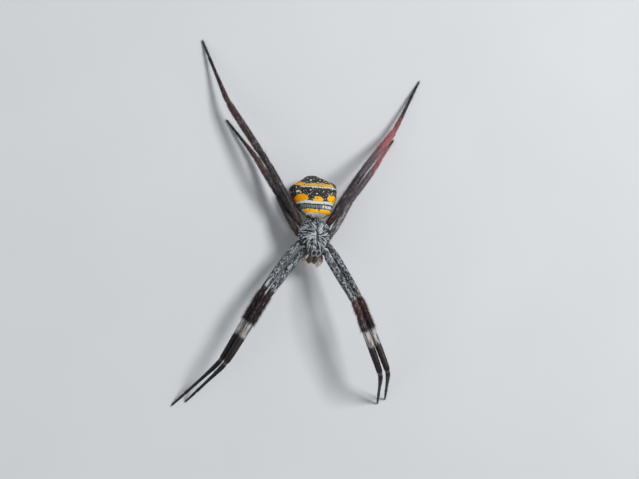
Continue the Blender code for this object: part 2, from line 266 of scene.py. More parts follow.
def hollow(x, y, place, radius):
    """1 in the middle of a round dimple, fading to 0 outside it."""
    return np.exp(-((x - place[0]) ** 2 + (y - place[1]) ** 2) / radius**2)


def box_middle(points):
    flat = points.reshape(-1, 3)
    return (flat.min(0) + flat.max(0)) / 2

# %% [markdown]
# ### Carapace
#
# The carapace is the hard shield over the front body: broad and low behind, with a narrower
# head in front that carries the eyes. A dimple in its middle, the fovea, is where the
# stomach's muscle is fixed, and shallow grooves run out from it between the legs.

# %% The carapace's dome
CARAPACE_FLOOR = 0.10
CARAPACE_SQUARENESS = 2.5
CARAPACE_RINGS, CARAPACE_ARC = 84, 97
SOLID_RINGS, SOLID_ARC = 19, 15
FOVEA = (-0.10, 0.08)    # side, place along the body
HAIR_CENTRE = np.array([*FOVEA, 0.6])    # the silver hair lies away from here
# Place along the body, half width, height of the top.
CARAPACE_ROWS = [
    (-2.22, 0.40, 0.44), (-2.02, 0.66, 0.80), (-1.60, 0.88, 1.04), (-1.00, 1.19, 1.12),
    (-0.40, 1.68, 1.18), (0.25, 1.93, 1.22), (0.95, 1.87, 1.14), (1.60, 1.46, 0.90),
    (2.02, 0.92, 0.64), (2.20, 0.50, 0.42),
]


def carapace_grid(rings, arc, depth):
    """Dome points, ring by ring, then back along the flat underside to the start."""
    first, last = CARAPACE_ROWS[0][0] + depth, CARAPACE_ROWS[-1][0] - depth
    places = first + (last - first) * even_ends(rings)
    half_width, top = (smooth_rows(CARAPACE_ROWS, places) - depth).T
    turn = np.linspace(0, math.pi, arc)
    power = 2 / CARAPACE_SQUARENESS
    across = half_width[:, None] * power_of(np.cos(turn), power)
    rise = (top - CARAPACE_FLOOR)[:, None] * np.abs(np.sin(turn)) ** power
    floor = half_width[:, None] * np.linspace(-1, 1, arc // 4)[1:]
    across = np.hstack([across, floor])
    rise = np.hstack([rise, np.zeros_like(floor)])
    return filled(across.shape, across, places[:, None], CARAPACE_FLOOR + rise)


# The rows, laid out with no coat, show where the solid carapace puts the body's own frame.
bare_dome = carapace_grid(SOLID_RINGS, SOLID_ARC, 0.0) @ BODY_TURN.T
BODY_PLACE = box_of("carapace").mean(0) - box_middle(bare_dome)


def on_body(points):
    """Points of the front body's own frame, put in their place in the model."""
    return points @ BODY_TURN.T + BODY_PLACE


print("front body's frame is at", BODY_PLACE.round(3), "mm")

# %% Carapace skin
def carapace_relief(x, y):
    """How far the dome rises or sinks, in millimetres."""
    turn = np.arctan2(x - FOVEA[0], FOVEA[1] - y)
    reach = np.hypot(x - FOVEA[0], y - FOVEA[1])
    grooves = (0.5 + 0.5 * np.cos(turn * 8)) * np.exp(-((reach - 0.95) / 0.55) ** 2)
    head_sides = np.exp(-((np.abs(x) - 0.95 - 0.25 * y) / 0.16) ** 2) * hollow(0, y, (0, -0.9), 0.7)
    brow = hollow(np.abs(x), y, (0.26, -1.72), 0.24)
    return -0.10 * hollow(x, y, FOVEA, 0.2) - 0.035 * grooves - 0.06 * head_sides + 0.03 * brow


points = carapace_grid(CARAPACE_RINGS, CARAPACE_ARC, COAT_DEPTH)
x, y, z = np.moveaxis(points, -1, 0)
height = z - CARAPACE_FLOOR
dome = height > 0.02
z += carapace_relief(x, y) * np.clip(height / 0.5, 0, 1) * dome
carapace = loft(
    "skin_carapace", on_body(points), 0, mark=points,
    lie=laid_flat(points - HAIR_CENTRE, outward(points)) @ BODY_TURN.T,
    unwrap=(0.5 + x / 4.4 + 0.04 * z * np.sign(x), 0.5 + y / 4.9),
    hair=np.clip(height / 0.25, 0, 1) * dome)
print("carapace skin:", len(carapace.data.polygons), "faces")

# %% [markdown]
# ### Abdomen
#
# The abdomen is soft: a bag with five corners seen from above, blunt in front, widest past
# its middle, and drawn in to a tail. Rows of small dents, the sigilla, show where muscles
# hold its upper side down, and its flanks are creased.

# %% The abdomen's sizes
ABDOMEN_LENGTH = 5.35
ABDOMEN_HALF_WIDTH = 2.75
ABDOMEN_SQUARENESS = 2.3
ABDOMEN_RINGS, ABDOMEN_SIDES = 132, 128
ABDOMEN_TURN = turned(7.8, "Z") @ turned(-19.0, "X")
ABDOMEN_PLACE = on_body(np.array((0.27, 2.36, 0.42)))
# Share of the length, share of the half width, height above and depth below the axis.
ABDOMEN_ROWS = [
    (0.00, 0.26, 0.40, 0.36), (0.03, 0.48, 0.78, 0.70), (0.10, 0.58, 1.08, 1.02),
    (0.26, 0.79, 1.34, 1.46), (0.44, 0.95, 1.48, 1.76), (0.60, 1.00, 1.48, 1.86),
    (0.73, 0.98, 1.30, 1.72), (0.80, 0.83, 1.10, 1.48), (0.87, 0.54, 0.86, 1.10),
    (0.92, 0.38, 0.66, 0.80), (0.97, 0.25, 0.42, 0.46), (1.00, 0.11, 0.18, 0.20),
]
# Side, place along the abdomen and radius of each dent. The first three are dark.
SIGILLA = [(0.64, 3.20, 0.09), (0.50, 0.66, 0.10), (0.02, 0.38, 0.07), (0.86, 1.86, 0.16),
           (1.05, 2.55, 0.07), (0.55, 2.50, 0.06), (0.45, 3.95, 0.07), (0.95, 1.05, 0.07)]
BLUNT_FRONT = 0.9        # how far back the abdomen's front reaches


def on_abdomen(points):
    return points @ ABDOMEN_TURN.T + ABDOMEN_PLACE


print("abdomen's frame is at", ABDOMEN_PLACE.round(3), "mm")

# %% Abdomen skin
def abdomen_relief(points):
    x, y, z = np.moveaxis(points, -1, 0)
    upper = np.clip(z / 0.4, 0, 1)
    dents = sum(hollow(np.abs(x), y, (side, place), radius) * radius * 0.55
                for side, place, radius in SIGILLA)
    flank = np.clip(1 - np.abs(z - 0.1) / 0.9, 0, 1)
    creases = np.sin(y * 7.5 + np.abs(x) * 1.5) * 0.022 * flank
    swell = 0.03 * np.sin(y * 4.1 + 0.6) * upper
    tail_step = -0.10 * np.exp(-((y - 4.25) / 0.16) ** 2)
    plate = 0.10 * hollow(x, y, (0, 1.25), 0.34) * (z < 0)
    return swell + creases + tail_step + plate - dents * upper


shares = even_ends(ABDOMEN_RINGS)
half_width, top, bottom = smooth_rows(ABDOMEN_ROWS, shares).T
half_width = half_width * ABDOMEN_HALF_WIDTH - COAT_DEPTH
turn = np.linspace(-0.5 * math.pi, 1.5 * math.pi, ABDOMEN_SIDES + 1)
power = 2 / ABDOMEN_SQUARENESS
tall = np.where(np.sin(turn) > 0, top[:, None], bottom[:, None]) - COAT_DEPTH
along = COAT_DEPTH + shares * (ABDOMEN_LENGTH - 2 * COAT_DEPTH)
points = filled(tall.shape, half_width[:, None] * power_of(np.cos(turn), power), along[:, None],
                tall * power_of(np.sin(turn), power))
normal = outward(points)
points += normal * abdomen_relief(points)[..., None]
abdomen = loft(
    "skin_abdomen", on_abdomen(points), 1, mark=points,
    lie=laid_flat(np.array((0.0, 1.0, -0.1)), normal) @ ABDOMEN_TURN.T,
    unwrap=(inset(turn / math.pi + 0.5) / 2, inset(along / ABDOMEN_LENGTH)[:, None]),
    hair=np.clip(1.0 - along / BLUNT_FRONT, 0.25, 1)[:, None])
# On the blunt front the hair stands forwards, over the waist and the rear of the carapace.
front_rows = int((along < BLUNT_FRONT).sum())
forward = laid_flat(np.array((0.0, -1.0, 0.25)), normal) @ ABDOMEN_TURN.T
grid, fields = COATS["skin_abdomen"]
COATS["shoulder"] = (grid[:front_rows], {field_name: values[:front_rows] for field_name, values
                                         in {**fields, "lie": forward}.items()})
print("abdomen skin:", len(abdomen.data.polygons), "faces; solid's middle less skin's, mm:",
      (box_of("abdomen").mean(0) - box_middle(on_abdomen(points))).round(3))

# %% [markdown]
# ### Legs
#
# A spider's leg has seven lengths: coxa, trochanter, femur, patella, tibia, metatarsus and
# tarsus. The solids join the short trochanter and patella to their neighbours, so a point's
# place along a leg is counted in solids: 0 at the breast plate, 1 where the femur starts, 2
# at the knee, 3 at the end of the tibia, 4 at the ankle and 5 at the toe. Each leg is one
# loft, thin at each joint, where the real leg has soft folded skin between hard tubes.

# %% The legs' sizes
LEG_SOLIDS = ("coxa", "femur", "tibia", "metatarsus", "tarsus")
LEG_CUTS = (3, 9, 9, 7, 5)
LEG_JOINTS = (0.86, 1.035, 1.995, 2.19, 2.995, 3.995, 4.97)
LEG_SIDES = 20
LEG_SPACING, JOINT_SPACING, JOINT_REACH = 0.17, 0.045, 0.2
LEG_INSET = 0.012        # how far a leg's skin lies inside its solids, at least
SIDES = {"left": 1, "right": -1}
THIRD_LEG_THICKNESS = 0.86
# Place along the leg, counted in solids, and radius.
LEG_ROWS = [
    (-0.6, 0.26), (0.0, 0.31), (0.45, 0.335), (0.78, 0.33), (0.86, 0.29), (0.93, 0.31),
    (1.01, 0.31), (1.035, 0.28), (1.07, 0.34), (1.25, 0.41), (1.45, 0.425), (1.65, 0.42),
    (1.85, 0.375), (1.96, 0.34), (1.995, 0.285), (2.03, 0.33), (2.09, 0.36), (2.16, 0.35),
    (2.19, 0.31), (2.22, 0.35), (2.35, 0.38), (2.60, 0.375), (2.85, 0.345), (2.96, 0.30),
    (2.995, 0.24), (3.03, 0.255), (3.10, 0.255), (3.25, 0.225), (3.45, 0.18), (3.80, 0.15),
    (3.96, 0.145), (3.995, 0.11), (4.04, 0.13), (4.30, 0.125), (4.75, 0.10), (4.93, 0.085),
    (5.0, 0.045),
]
print("leg rows:", len(LEG_ROWS), "for", len(LEG_SOLIDS), "solids")

# %% Follow a limb's solids
def limb_route(nodes, cuts):
    """Centreline through a row of limb solids, with its place counted in solids."""
    centres, radii, places = [], [], []
    outward_from = BODY_PLACE
    for number, (node, count) in enumerate(zip(nodes, cuts)):
        middles, sizes, shares = limb_centres(node, count, outward_from)
        centres.append(middles)
        radii.append(sizes)
        places.append(number + shares)
        outward_from = middles[-1]
    centres, radii, places = map(np.concatenate, (centres, radii, places))
    start = centres[0] - (centres[1] - centres[0]) * (places[0] / (places[1] - places[0]))
    left_over = (len(nodes) - places[-1]) / (places[-1] - places[-2])
    end = centres[-1] + (centres[-1] - centres[-2]) * left_over
    centres = np.vstack([start, centres, end])
    radii = np.concatenate([radii[:1], radii, radii[-1:]])
    places = np.concatenate([[0.0], places, [float(len(nodes))]])
    marks = np.concatenate([[0.0], np.linalg.norm(np.diff(centres, axis=0), axis=1).cumsum()])
    return centres, radii, places, marks


longest = limb_route([f"leg_4_left_{solid}" for solid in LEG_SOLIDS], LEG_CUTS)[3][-1]
print("fourth left leg's length, mm:", longest.round(1))

# %% Rings round a limb
def ring_frame(centres):
    """Along, across and up directions at each ring of a limb."""
    along = normalised(np.gradient(centres, axis=0))
    across = normalised(np.cross(along, (0.0, 0.0, 1.0)))
    return along, across, np.cross(across, along)


def limb_grid(centres, radius, sides):
    """Rings round a centreline, each starting at its underside, and their directions."""
    along, across, up = ring_frame(centres)
    turn = np.linspace(-math.pi, math.pi, sides + 1)[:, None]
    ring = up[:, None] * np.cos(turn) + across[:, None] * np.sin(turn)
    return centres[:, None] + ring * radius[:, None, None], ring, along[:, None]


def rooted(line, radius, shares, start, root_radius, depth):
    """A limb's rings with one more inside the body, so that no seam shows at the root."""
    root = line[0] - normalised(line[1] - line[0]) * depth
    return (np.vstack([root, line]), np.concatenate([[root_radius], radius]),
            np.concatenate([[start], shares]))


def joint_marks(marks, places):
    """Marks along a leg, closer together at its joints."""
    even = np.arange(0, marks[-1], LEG_SPACING)
    around = np.arange(-JOINT_REACH, JOINT_REACH, JOINT_SPACING)
    extra = [np.interp(joint, places, marks) + around for joint in LEG_JOINTS]
    every = np.unique(np.concatenate([even, marks[-1:], *extra]).clip(0, marks[-1]).round(3))
    return every[np.concatenate([[True], np.diff(every) > JOINT_SPACING * 0.4])]


def off_floor(points, ring):
    """1 where hair may grow, and 0 on the sole, where it would reach through the floor."""
    return np.where((ring[..., 2] < -0.35) & (points[..., 2] < 0.45), 0.0, 1.0)


def map_strip(number, around):
    """Across one of the four strips of a flat map. Around runs from 0 to 1."""
    return (number + 0.06 + 0.88 * around) / 4

# %% Leg skin
def leg_skin(pair, side_name):
    nodes = [f"leg_{pair}_{side_name}_{solid}" for solid in LEG_SOLIDS]
    centres, radii, places, marks = limb_route(nodes, LEG_CUTS)
    at = joint_marks(marks, places)
    place = np.interp(at, marks, places)
    line = smooth_rows(np.hstack([marks[:, None], centres]), at)
    thin = np.where(place < 3, THIRD_LEG_THICKNESS if pair == 3 else 1.0, 1.0)
    radius = smooth_rows(LEG_ROWS, place)[:, 0] * thin
    radius = np.minimum(radius, np.interp(at, marks, radii) - LEG_INSET)
    line[:, 2] = np.maximum(line[:, 2], radius + 0.03 * (place > 4))
    line, radius, place = rooted(line, radius, place, -0.3, radius[0] * 0.85, 0.3)
    points, ring, along = limb_grid(line, radius, LEG_SIDES)
    around = np.linspace(-1, 1, LEG_SIDES + 1)
    # The leg's number, with a half more on the left.
    code = pair + (0.5 if side_name == "left" else 0.0)
    strip = map_strip((pair - 1) % 2 * 2 + (side_name == "left"), (around + 1) / 2)
    share = np.concatenate([[0.0], at]) / marks[-1]
    skin = loft(f"skin_leg_{pair}_{side_name}", points, 2, lie=along,
                mark=filled(points.shape[:2], place[:, None], around, code),
                unwrap=(inset(share)[:, None], strip),
                hair=np.clip((place - 0.55) / 0.2, 0, 1)[:, None] * off_floor(points, ring))
    return skin, line


LEGS = [leg_skin(pair, side_name) for pair in (1, 2, 3, 4) for side_name in SIDES]
print("leg skins:", sum(len(skin.data.polygons) for skin, _ in LEGS), "faces")

# %% [markdown]
# ### Jaws, feelers and the underside
#
# The jaws, or chelicerae, are two stout brown columns under the eyes, and each folds a fang
# under its end. The feelers beside them are like short legs. Below, the breast plate lies
# between the hips, with the lip and two mouth plates in front, and a narrow waist joins it
# to the abdomen, which ends in a cone of spinnerets.

# %% Jaws and feelers
JAW_OFFSET, JAW_PLACE, JAW_TOP, JAW_LENGTH = 0.31, -2.02, 0.04, 1.75
# Share of the length, half width, half depth.
JAW_ROWS = [(-0.15, 0.20, 0.24), (0.0, 0.22, 0.28), (0.12, 0.27, 0.37), (0.35, 0.29, 0.42),
            (0.65, 0.27, 0.38), (0.88, 0.22, 0.28), (0.97, 0.16, 0.20), (1.0, 0.08, 0.10)]
# Share of the length, radius.
PALP_ROWS = [(0.0, 0.20), (0.10, 0.21), (0.22, 0.20), (0.25, 0.155), (0.28, 0.19), (0.40, 0.20),
             (0.47, 0.155), (0.50, 0.19), (0.62, 0.20), (0.68, 0.15), (0.71, 0.185),
             (0.85, 0.175), (0.94, 0.14), (0.98, 0.09), (1.0, 0.03)]
PALP_SIDES = 18


def jaw_skin(side_name, number):
    side = float(SIDES[side_name])
    shares = np.concatenate([[-0.15], even_ends(40)])
    width, depth = (smooth_rows(JAW_ROWS, shares) - 0.02).T
    turn = np.linspace(0.5 * math.pi, 2.5 * math.pi, 33)
    lean = -0.12 * np.sin(math.pi * shares) - 0.10 * shares
    shape = (len(shares), len(turn))
    points = filled(shape, side * JAW_OFFSET + width[:, None] * np.cos(turn),
                    JAW_PLACE + lean[:, None] + depth[:, None] * np.sin(turn),
                    (JAW_TOP - JAW_LENGTH * shares)[:, None])
    around = (turn / math.pi - 0.5) / 2
    return loft(f"skin_jaw_{side_name}", on_body(points), 3,
                mark=filled(shape, shares[:, None], around, side),
                lie=laid_flat(np.array((0.0, 0.0, -1.0)), outward(points)) @ BODY_TURN.T,
                unwrap=(inset(np.clip(shares, 0, 1))[:, None], map_strip(number, around)),
                hair=((shares > 0.05) & (shares < 0.9))[:, None] * 1.0)


def palp_skin(side_name, number):
    centres, radii, places, marks = limb_route([f"pedipalp_{side_name}"], (14,))
    at = np.linspace(0, marks[-1], 70)
    share = at / marks[-1]
    line = smooth_rows(np.hstack([marks[:, None], centres]), at)
    radius = np.minimum(smooth_rows(PALP_ROWS, share)[:, 0], np.interp(at, marks, radii))
    line, radius, share = rooted(line, radius, share, 0.0, 0.15, 0.25)
    points, _, along = limb_grid(line, radius, PALP_SIDES)
    around = np.linspace(-1, 1, PALP_SIDES + 1)
    return loft(f"skin_palp_{side_name}", points, 4, lie=along,
                mark=filled(points.shape[:2], share[:, None], around, float(SIDES[side_name])),
                unwrap=(inset(share)[:, None], map_strip(number, (around + 1) / 2)),
                hair=np.clip((share - 0.1) / 0.1, 0, 1)[:, None])


# The number is the strip of the flat map that the part's hairs lie in.
JAWS = [jaw_skin("right", 0), jaw_skin("left", 1)]
PALPS = [palp_skin("right", 2), palp_skin("left", 3)]
print("jaws and feelers:", sum(len(part.data.polygons) for part in JAWS + PALPS), "faces")

# %% Breast plate, mouth plates, waist and spinnerets
# Place along the body, half width.
STERNUM_ROWS = [(-1.42, 0.30), (-1.05, 0.52), (-0.40, 0.66), (0.45, 0.62), (1.15, 0.34),
                (1.45, 0.14)]
# Side, place back, length and radius of the three spinnerets on each side.
SPINNERETS = ((0.17, 0.0, 0.50, 0.15), (0.19, 0.30, 0.42, 0.14), (0.07, 0.16, 0.34, 0.08))


def breast_plate():
    first, last = STERNUM_ROWS[0][0] + 0.02, STERNUM_ROWS[-1][0] - 0.02
    places = first + (last - first) * even_ends(40)
    half_width = smooth_rows(STERNUM_ROWS, places)[:, 0] - 0.02
    turn = np.linspace(0, 2 * math.pi, 49)
    # The upper half reaches into the carapace, and the lower half is a shallow shield.
    level = np.where(np.sin(turn) > 0, 0.34, 0.44) * power_of(np.sin(turn), 0.75) - 0.24
    points = filled((len(places), len(turn)), half_width[:, None] * power_of(np.cos(turn), 0.8),
                    places[:, None], level)
    return loft("skin_breast", on_body(points), 5, points)


def lobe(name, start, end, radius, flat=1.0, placed=on_body):
    """A short blunt lobe between two points, in the frame of a half of the body."""
    shares = even_ends(18)
    line = np.array(start) + (np.array(end) - np.array(start)) * shares[:, None]
    swell = radius * np.sqrt(np.clip(1 - np.abs(2 * shares - 1) ** 2.6, 0.004, 1))
    along, across, up = ring_frame(line)
    turn = np.linspace(-math.pi, math.pi, 21)[:, None]
    ring = across[:, None] * np.cos(turn) + up[:, None] * np.sin(turn) * flat
    points = line[:, None] + ring * swell[:, None, None]
    return loft(name, placed(points), 5, points)


UNDERSIDE = [breast_plate()]
for side_name, side in SIDES.items():
    UNDERSIDE.append(lobe(f"skin_mouth_{side_name}", (side * 0.22, -1.12, -0.62),
                          (side * 0.34, -1.78, -0.78), 0.20, 0.7))
    for number, (out, back, length, size) in enumerate(SPINNERETS):
        base = np.array((side * out, 4.18 + back, -1.30 + back * 0.7))
        tip = base + np.array((side * 0.02, 0.62, -0.30)) * length / 0.5
        UNDERSIDE.append(lobe(f"skin_spinneret_{side_name}_{number}", base, tip, size,
                              placed=on_abdomen))
UNDERSIDE.append(lobe("skin_lip", (0, -1.10, -0.60), (0, -1.52, -0.72), 0.17, 0.6))
UNDERSIDE.append(lobe("skin_waist", (0, 1.2, -0.14), (0, 2.95, 0.0), 0.21))
print("underside:", len(UNDERSIDE), "lofts")

# %% [markdown]
# ### One skin
#
# The lofts are joined by a Boolean union, which keeps each loft's fields. Remeshing would
# also join them, but it would round off the narrow joints of the legs and lose the fields.

# %% Join the lofts
def plain_copy(name, thing):
    """The mesh that an object's modifiers make, as a new object. The old one is removed."""
    shaped = thing.evaluated_get(bpy.context.evaluated_depsgraph_get())
    copy = add_object(name, bpy.data.meshes.new_from_object(shaped))
    bpy.data.objects.remove(thing, do_unlink=True)
    return copy


others = [abdomen, *UNDERSIDE, *[skin for skin, _ in LEGS], *JAWS, *PALPS]
for other in others:
    union = carapace.modifiers.new(other.name, "BOOLEAN")
    union.operation = "UNION"
    union.solver = "MANIFOLD"
    union.object = other
bpy.context.view_layer.update()
skin = plain_copy("skin", carapace)
for other in others:
    bpy.data.objects.remove(other, do_unlink=True)
print("skin:", len(skin.data.polygons), "faces, fields:",
      [stored.name for stored in skin.data.attributes if not stored.name.startswith(".")])

# %% [markdown]
# ### Eyes, fangs and claws
#
# These stay separate pieces, because they are hard and shiny where the skin is matt. Eight
# eyes sit in two rows of four, and each is a clear dome over a black ground. The fangs and
# the two claws at the end of each leg are thin curved spikes.

# %% Eyes
def merged(name, parts):
    """One mesh object, in metres, from a list of (points, faces) in millimetres."""
    points, faces, start = [], [], 0
    for corners, sides in parts:
        points.append(np.asarray(corners) * MM)
        faces += [[start + corner for corner in side] for side in sides]
        start += len(corners)
    piece = new_piece(name, np.vstack(points), faces)
    face_outwards(piece.data)
    piece.data.shade_smooth()
    return piece


def ball(centre, radius, rings=14, sides=24):
    build = bmesh.new()
    bmesh.ops.create_uvsphere(build, u_segments=sides, v_segments=rings, radius=radius)
    points = np.array([corner.co[:] for corner in build.verts]) + centre
    faces = [[corner.index for corner in face.verts] for face in build.faces]
    build.free()
    return points, faces


EYES = {}                # node: (middle, radius)
for node in sorted(name for name in frame["nodes"] if name.startswith("eye_")):
    low, high = box_of(node)
    EYES[node] = ((low + high) / 2, (high - low).mean() / 2)
eyes = merged("eyes", [ball(centre, radius) for centre, radius in EYES.values()])
print("eyes:", len(EYES), "of", len(eyes.data.polygons) // len(EYES), "faces each")

# %% Fangs and claws
def spike(line, radius, sides=10):
    """A closed tapered tube along a line."""
    points = limb_grid(line, radius, sides)[0][:, :-1]
    return points.reshape(-1, 3), tube_faces(len(line), sides)


fang_parts = []
steps = np.linspace(0, 1, 9)[:, None]
for side in SIDES.values():
    curve = np.array((side * 0.31, -2.05, -1.64)) + steps * np.array((-side * 0.22, 0.36, -0.26))
    curve[:, 2] -= 0.10 * np.sin(math.pi * steps[:, 0])
    fang_parts.append(spike(on_body(curve), np.linspace(0.105, 0.012, 9)))
fangs = merged("fangs", fang_parts)

claw_parts = []
steps = np.linspace(0, 1, 7)[:, None]
for _, line in LEGS:
    toe, heading = line[-1], normalised(line[-1] - line[-6])
    heading = normalised(heading * (1, 1, 0.1))
    sideways = normalised(np.cross(heading, (0, 0, 1)))
    for side in (-1, 1):
        curve = toe + sideways * side * (0.025 + 0.05 * steps) + heading * (steps * 0.20 - 0.05)
        curve[:, 2] = toe[2] + 0.05 * np.sin(math.pi * steps[:, 0]) - 0.03 * steps[:, 0] ** 2
        curve[:, 2] = np.maximum(curve[:, 2], 0.02)
        claw_parts.append(spike(curve, np.linspace(0.020, 0.005, 7), 6))
claws = merged("claws", claw_parts)
print("claws:", len(claw_parts))

# %% [markdown]
# ## Colours and surfaces
#
# The skin and the hair over it carry the same marks, so each pattern is made once, as a node
# group, and both materials use it. A pattern reads the field named mark: millimetres across
# and along on the two halves of the body, and a place along and around on each leg. A
# painted image would be simpler, but it would blur close up and stop at the seams.
#
# A pattern is mostly arithmetic, so a node's output is wrapped in a small class of its own:
# a sum or product of two outputs lays the Math node and its links in their tree.

# %% A node's output, with arithmetic
class Value:
    """An output of a node. Arithmetic with it lays a Math node in the same tree."""

    def __init__(self, socket):
        self.socket = socket

    def also(self, name):
        """Another output of the same node."""
        return Value(self.socket.node.outputs[name])

    def __add__(self, other):
        return calc("ADD", self, other)

    def __radd__(self, other):
        return calc("ADD", other, self)

    def __sub__(self, other):
        return calc("SUBTRACT", self, other)

    def __rsub__(self, other):
        return calc("SUBTRACT", other, self)

    def __mul__(self, other):
        return calc("MULTIPLY", self, other)

    def __truediv__(self, other):
        return calc("DIVIDE", self, other)

    def __abs__(self):
        return calc("ABSOLUTE", self)


def wire(socket, value):
    """Link an output to a socket, or set it to a constant. Colours are red, green, blue."""
    if isinstance(value, Value):
        socket.id_data.links.new(value.socket, socket)
    elif socket.type == "RGBA":
        socket.default_value = (*value, 1.0)
    else:
        socket.default_value = value


def lay(kind, output, inputs, tree=None, **settings):
    """Lay a node in the tree that its inputs come from, and give back one of its outputs."""
    if tree is None:
        tree = next(v.socket.id_data for v in inputs.values() if isinstance(v, Value))
    node = tree.nodes.new(kind)
    for name, value in settings.items():
        setattr(node, name, value)
    for name, value in inputs.items():
        wire(node.inputs[name], value)
    return Value(node.outputs[output])

# %% The nodes that patterns use
def calc(operation, *values):
    """One Math node. Its values are numbers or other nodes' outputs."""
    return lay("ShaderNodeMath", 0, dict(enumerate(values)), operation=operation)


def ease(value, start, end):
    """0 before start, 1 past end, with a soft step between."""
    return lay("ShaderNodeMapRange", "Result", {"Value": value, "From Min": start, "From Max": end},
               interpolation_type="SMOOTHSTEP")


def between(value, start, full, fading, end):
    """1 from full to fading, and 0 before start and past end."""
    return ease(value, start, full) * (1.0 - ease(value, fading, end))


def mixed(share, under, over):
    """One colour over another."""
    return lay("ShaderNodeMix", "Result", {"Factor": share, "A": under, "B": over},
               data_type="RGBA")


def packed(x, y, z=0.0):
    return lay("ShaderNodeCombineXYZ", 0, {0: x, 1: y, 2: z})


def apart(vector):
    x = lay("ShaderNodeSeparateXYZ", "X", {0: vector})
    return x, x.also("Y"), x.also("Z")


def vector_calc(operation, *values):
    return lay("ShaderNodeVectorMath", 0, dict(enumerate(values)), operation=operation)


def scaled(vector, factor):
    """A vector or a colour times a number."""
    return lay("ShaderNodeVectorMath", 0, {0: vector, "Scale": factor}, operation="SCALE")


def length_of(vector):
    return lay("ShaderNodeVectorMath", "Value", {0: vector}, operation="LENGTH")


def noise(vector, scale, detail=2.0):
    return lay("ShaderNodeTexNoise", "Fac", {"Vector": vector, "Scale": scale, "Detail": detail})


def field(tree, name, output="Vector"):
    return lay("ShaderNodeAttribute", output, {}, tree, attribute_name=name)

# %% Groups
VECTOR = "vector"
BLACK = (0.0, 0.0, 0.0)


def group(name, inputs, outputs):
    """An empty shader node group: its tree, its inputs' values and its output node's sockets."""
    tree = bpy.data.node_groups.new(name, "ShaderNodeTree")
    kinds = {float: "NodeSocketFloat", tuple: "NodeSocketColor", str: "NodeSocketVector"}
    for in_out, sockets in (("INPUT", inputs), ("OUTPUT", outputs)):
        for label, value in sockets.items():
            made = tree.interface.new_socket(label, in_out=in_out, socket_type=kinds[type(value)])
            if isinstance(value, float):
                made.default_value = value
    return tree, given_values(tree), tree.nodes.new("NodeGroupOutput").inputs


def given_values(tree):
    """A group's inputs by name, as seen from inside it."""
    sockets = tree.nodes.new("NodeGroupInput").outputs
    return {socket.name: Value(socket) for socket in sockets if socket.name}


def use(group_tree, tree=None, **values):
    """Place a group, and give its first output. A label's spaces are written as underscores."""
    inputs = {label.replace("_", " "): value for label, value in values.items()}
    return lay("ShaderNodeGroup", 0, inputs, tree, node_tree=group_tree)

# %% [markdown]
# ### Bands, lobes and speckles
#
# The abdomen's pattern is built from three simple marks. A band crosses the back and may bow.
# A lobe is a rounded blob, flatter in front. Speckles are scattered dots of one size.

# %% The three kinds of mark
BAND_END = 0.12          # how softly a band ends at its sides


def band_group():
    tree, given, result = group("band", {
        "Across": 0.0, "Along": 0.0, "Place": 0.0, "Half width": 0.2, "Bow": 0.0,
        "From": -3.0, "To": 3.0, "Softness": 0.04, "Wobble": 0.05}, {"Mask": 0.0})
    across, along, place, half, bow, start, end, soft, wobble = given.values()
    wave = (noise(packed(across, along, place), 3.4, 4.0) - 0.5) * wobble * 4.0
    off = abs(along - (place + across * across * bow) + wave)
    inside = 1.0 - ease(off, half - soft, half + soft)
    ends = between(across + wave, start, start + BAND_END, end - BAND_END, end)
    wire(result["Mask"], inside * ends)
    return tree


def lobe_group():
    tree, given, result = group("lobe", {
        "Across": 0.0, "Along": 0.0, "Side": 0.0, "Place": 0.0, "Half width": 0.5,
        "Height": 0.4, "Flatness": 2.4, "Softness": 0.1}, {"Mask": 0.0})
    across, along, side, place, half, height, flatness, soft = given.values()
    wave = (noise(packed(across, along), 3.6, 3.0) - 0.5) * 0.55
    x = (across - side) / half
    y = (along - place) / height
    y = calc("MAXIMUM", y, 0.0) + calc("MINIMUM", y, 0.0) * flatness
    far = calc("SQRT", x * x + y * y) + wave
    wire(result["Mask"], 1.0 - ease(far, 1.0 - soft, 1.0 + soft))
    return tree


def speckle_group():
    tree, given, result = group("speckles", {"Vector": VECTOR, "Scale": 5.0, "Size": 0.2,
                                             "Disorder": 1.0}, {"Mask": 0.0})
    distance = lay("ShaderNodeTexVoronoi", "Distance", {
        "Vector": given["Vector"], "Scale": given["Scale"], "Randomness": given["Disorder"]})
    chance = apart(distance.also("Color"))[0]
    size = given["Size"] * (0.4 + chance)
    wire(result["Mask"], 1.0 - ease(distance, size * 0.7, size))
    return tree


BAND, LOBE, SPECKLES = band_group(), lobe_group(), speckle_group()
print("marks:", BAND.name, LOBE.name, SPECKLES.name)

# %% The abdomen's bands and lobes
ORANGE = (0.78, 0.385, 0.0)
DEEP_ORANGE = (0.70, 0.28, 0.0)
PALE_YELLOW = (0.54, 0.34, 0.07)
CREAM = (0.55, 0.55, 0.50)
SLATE = (0.115, 0.135, 0.14)
SOOT = (0.010, 0.010, 0.010)
SKEW = 0.10              # how far the bands run askew, per millimetre across
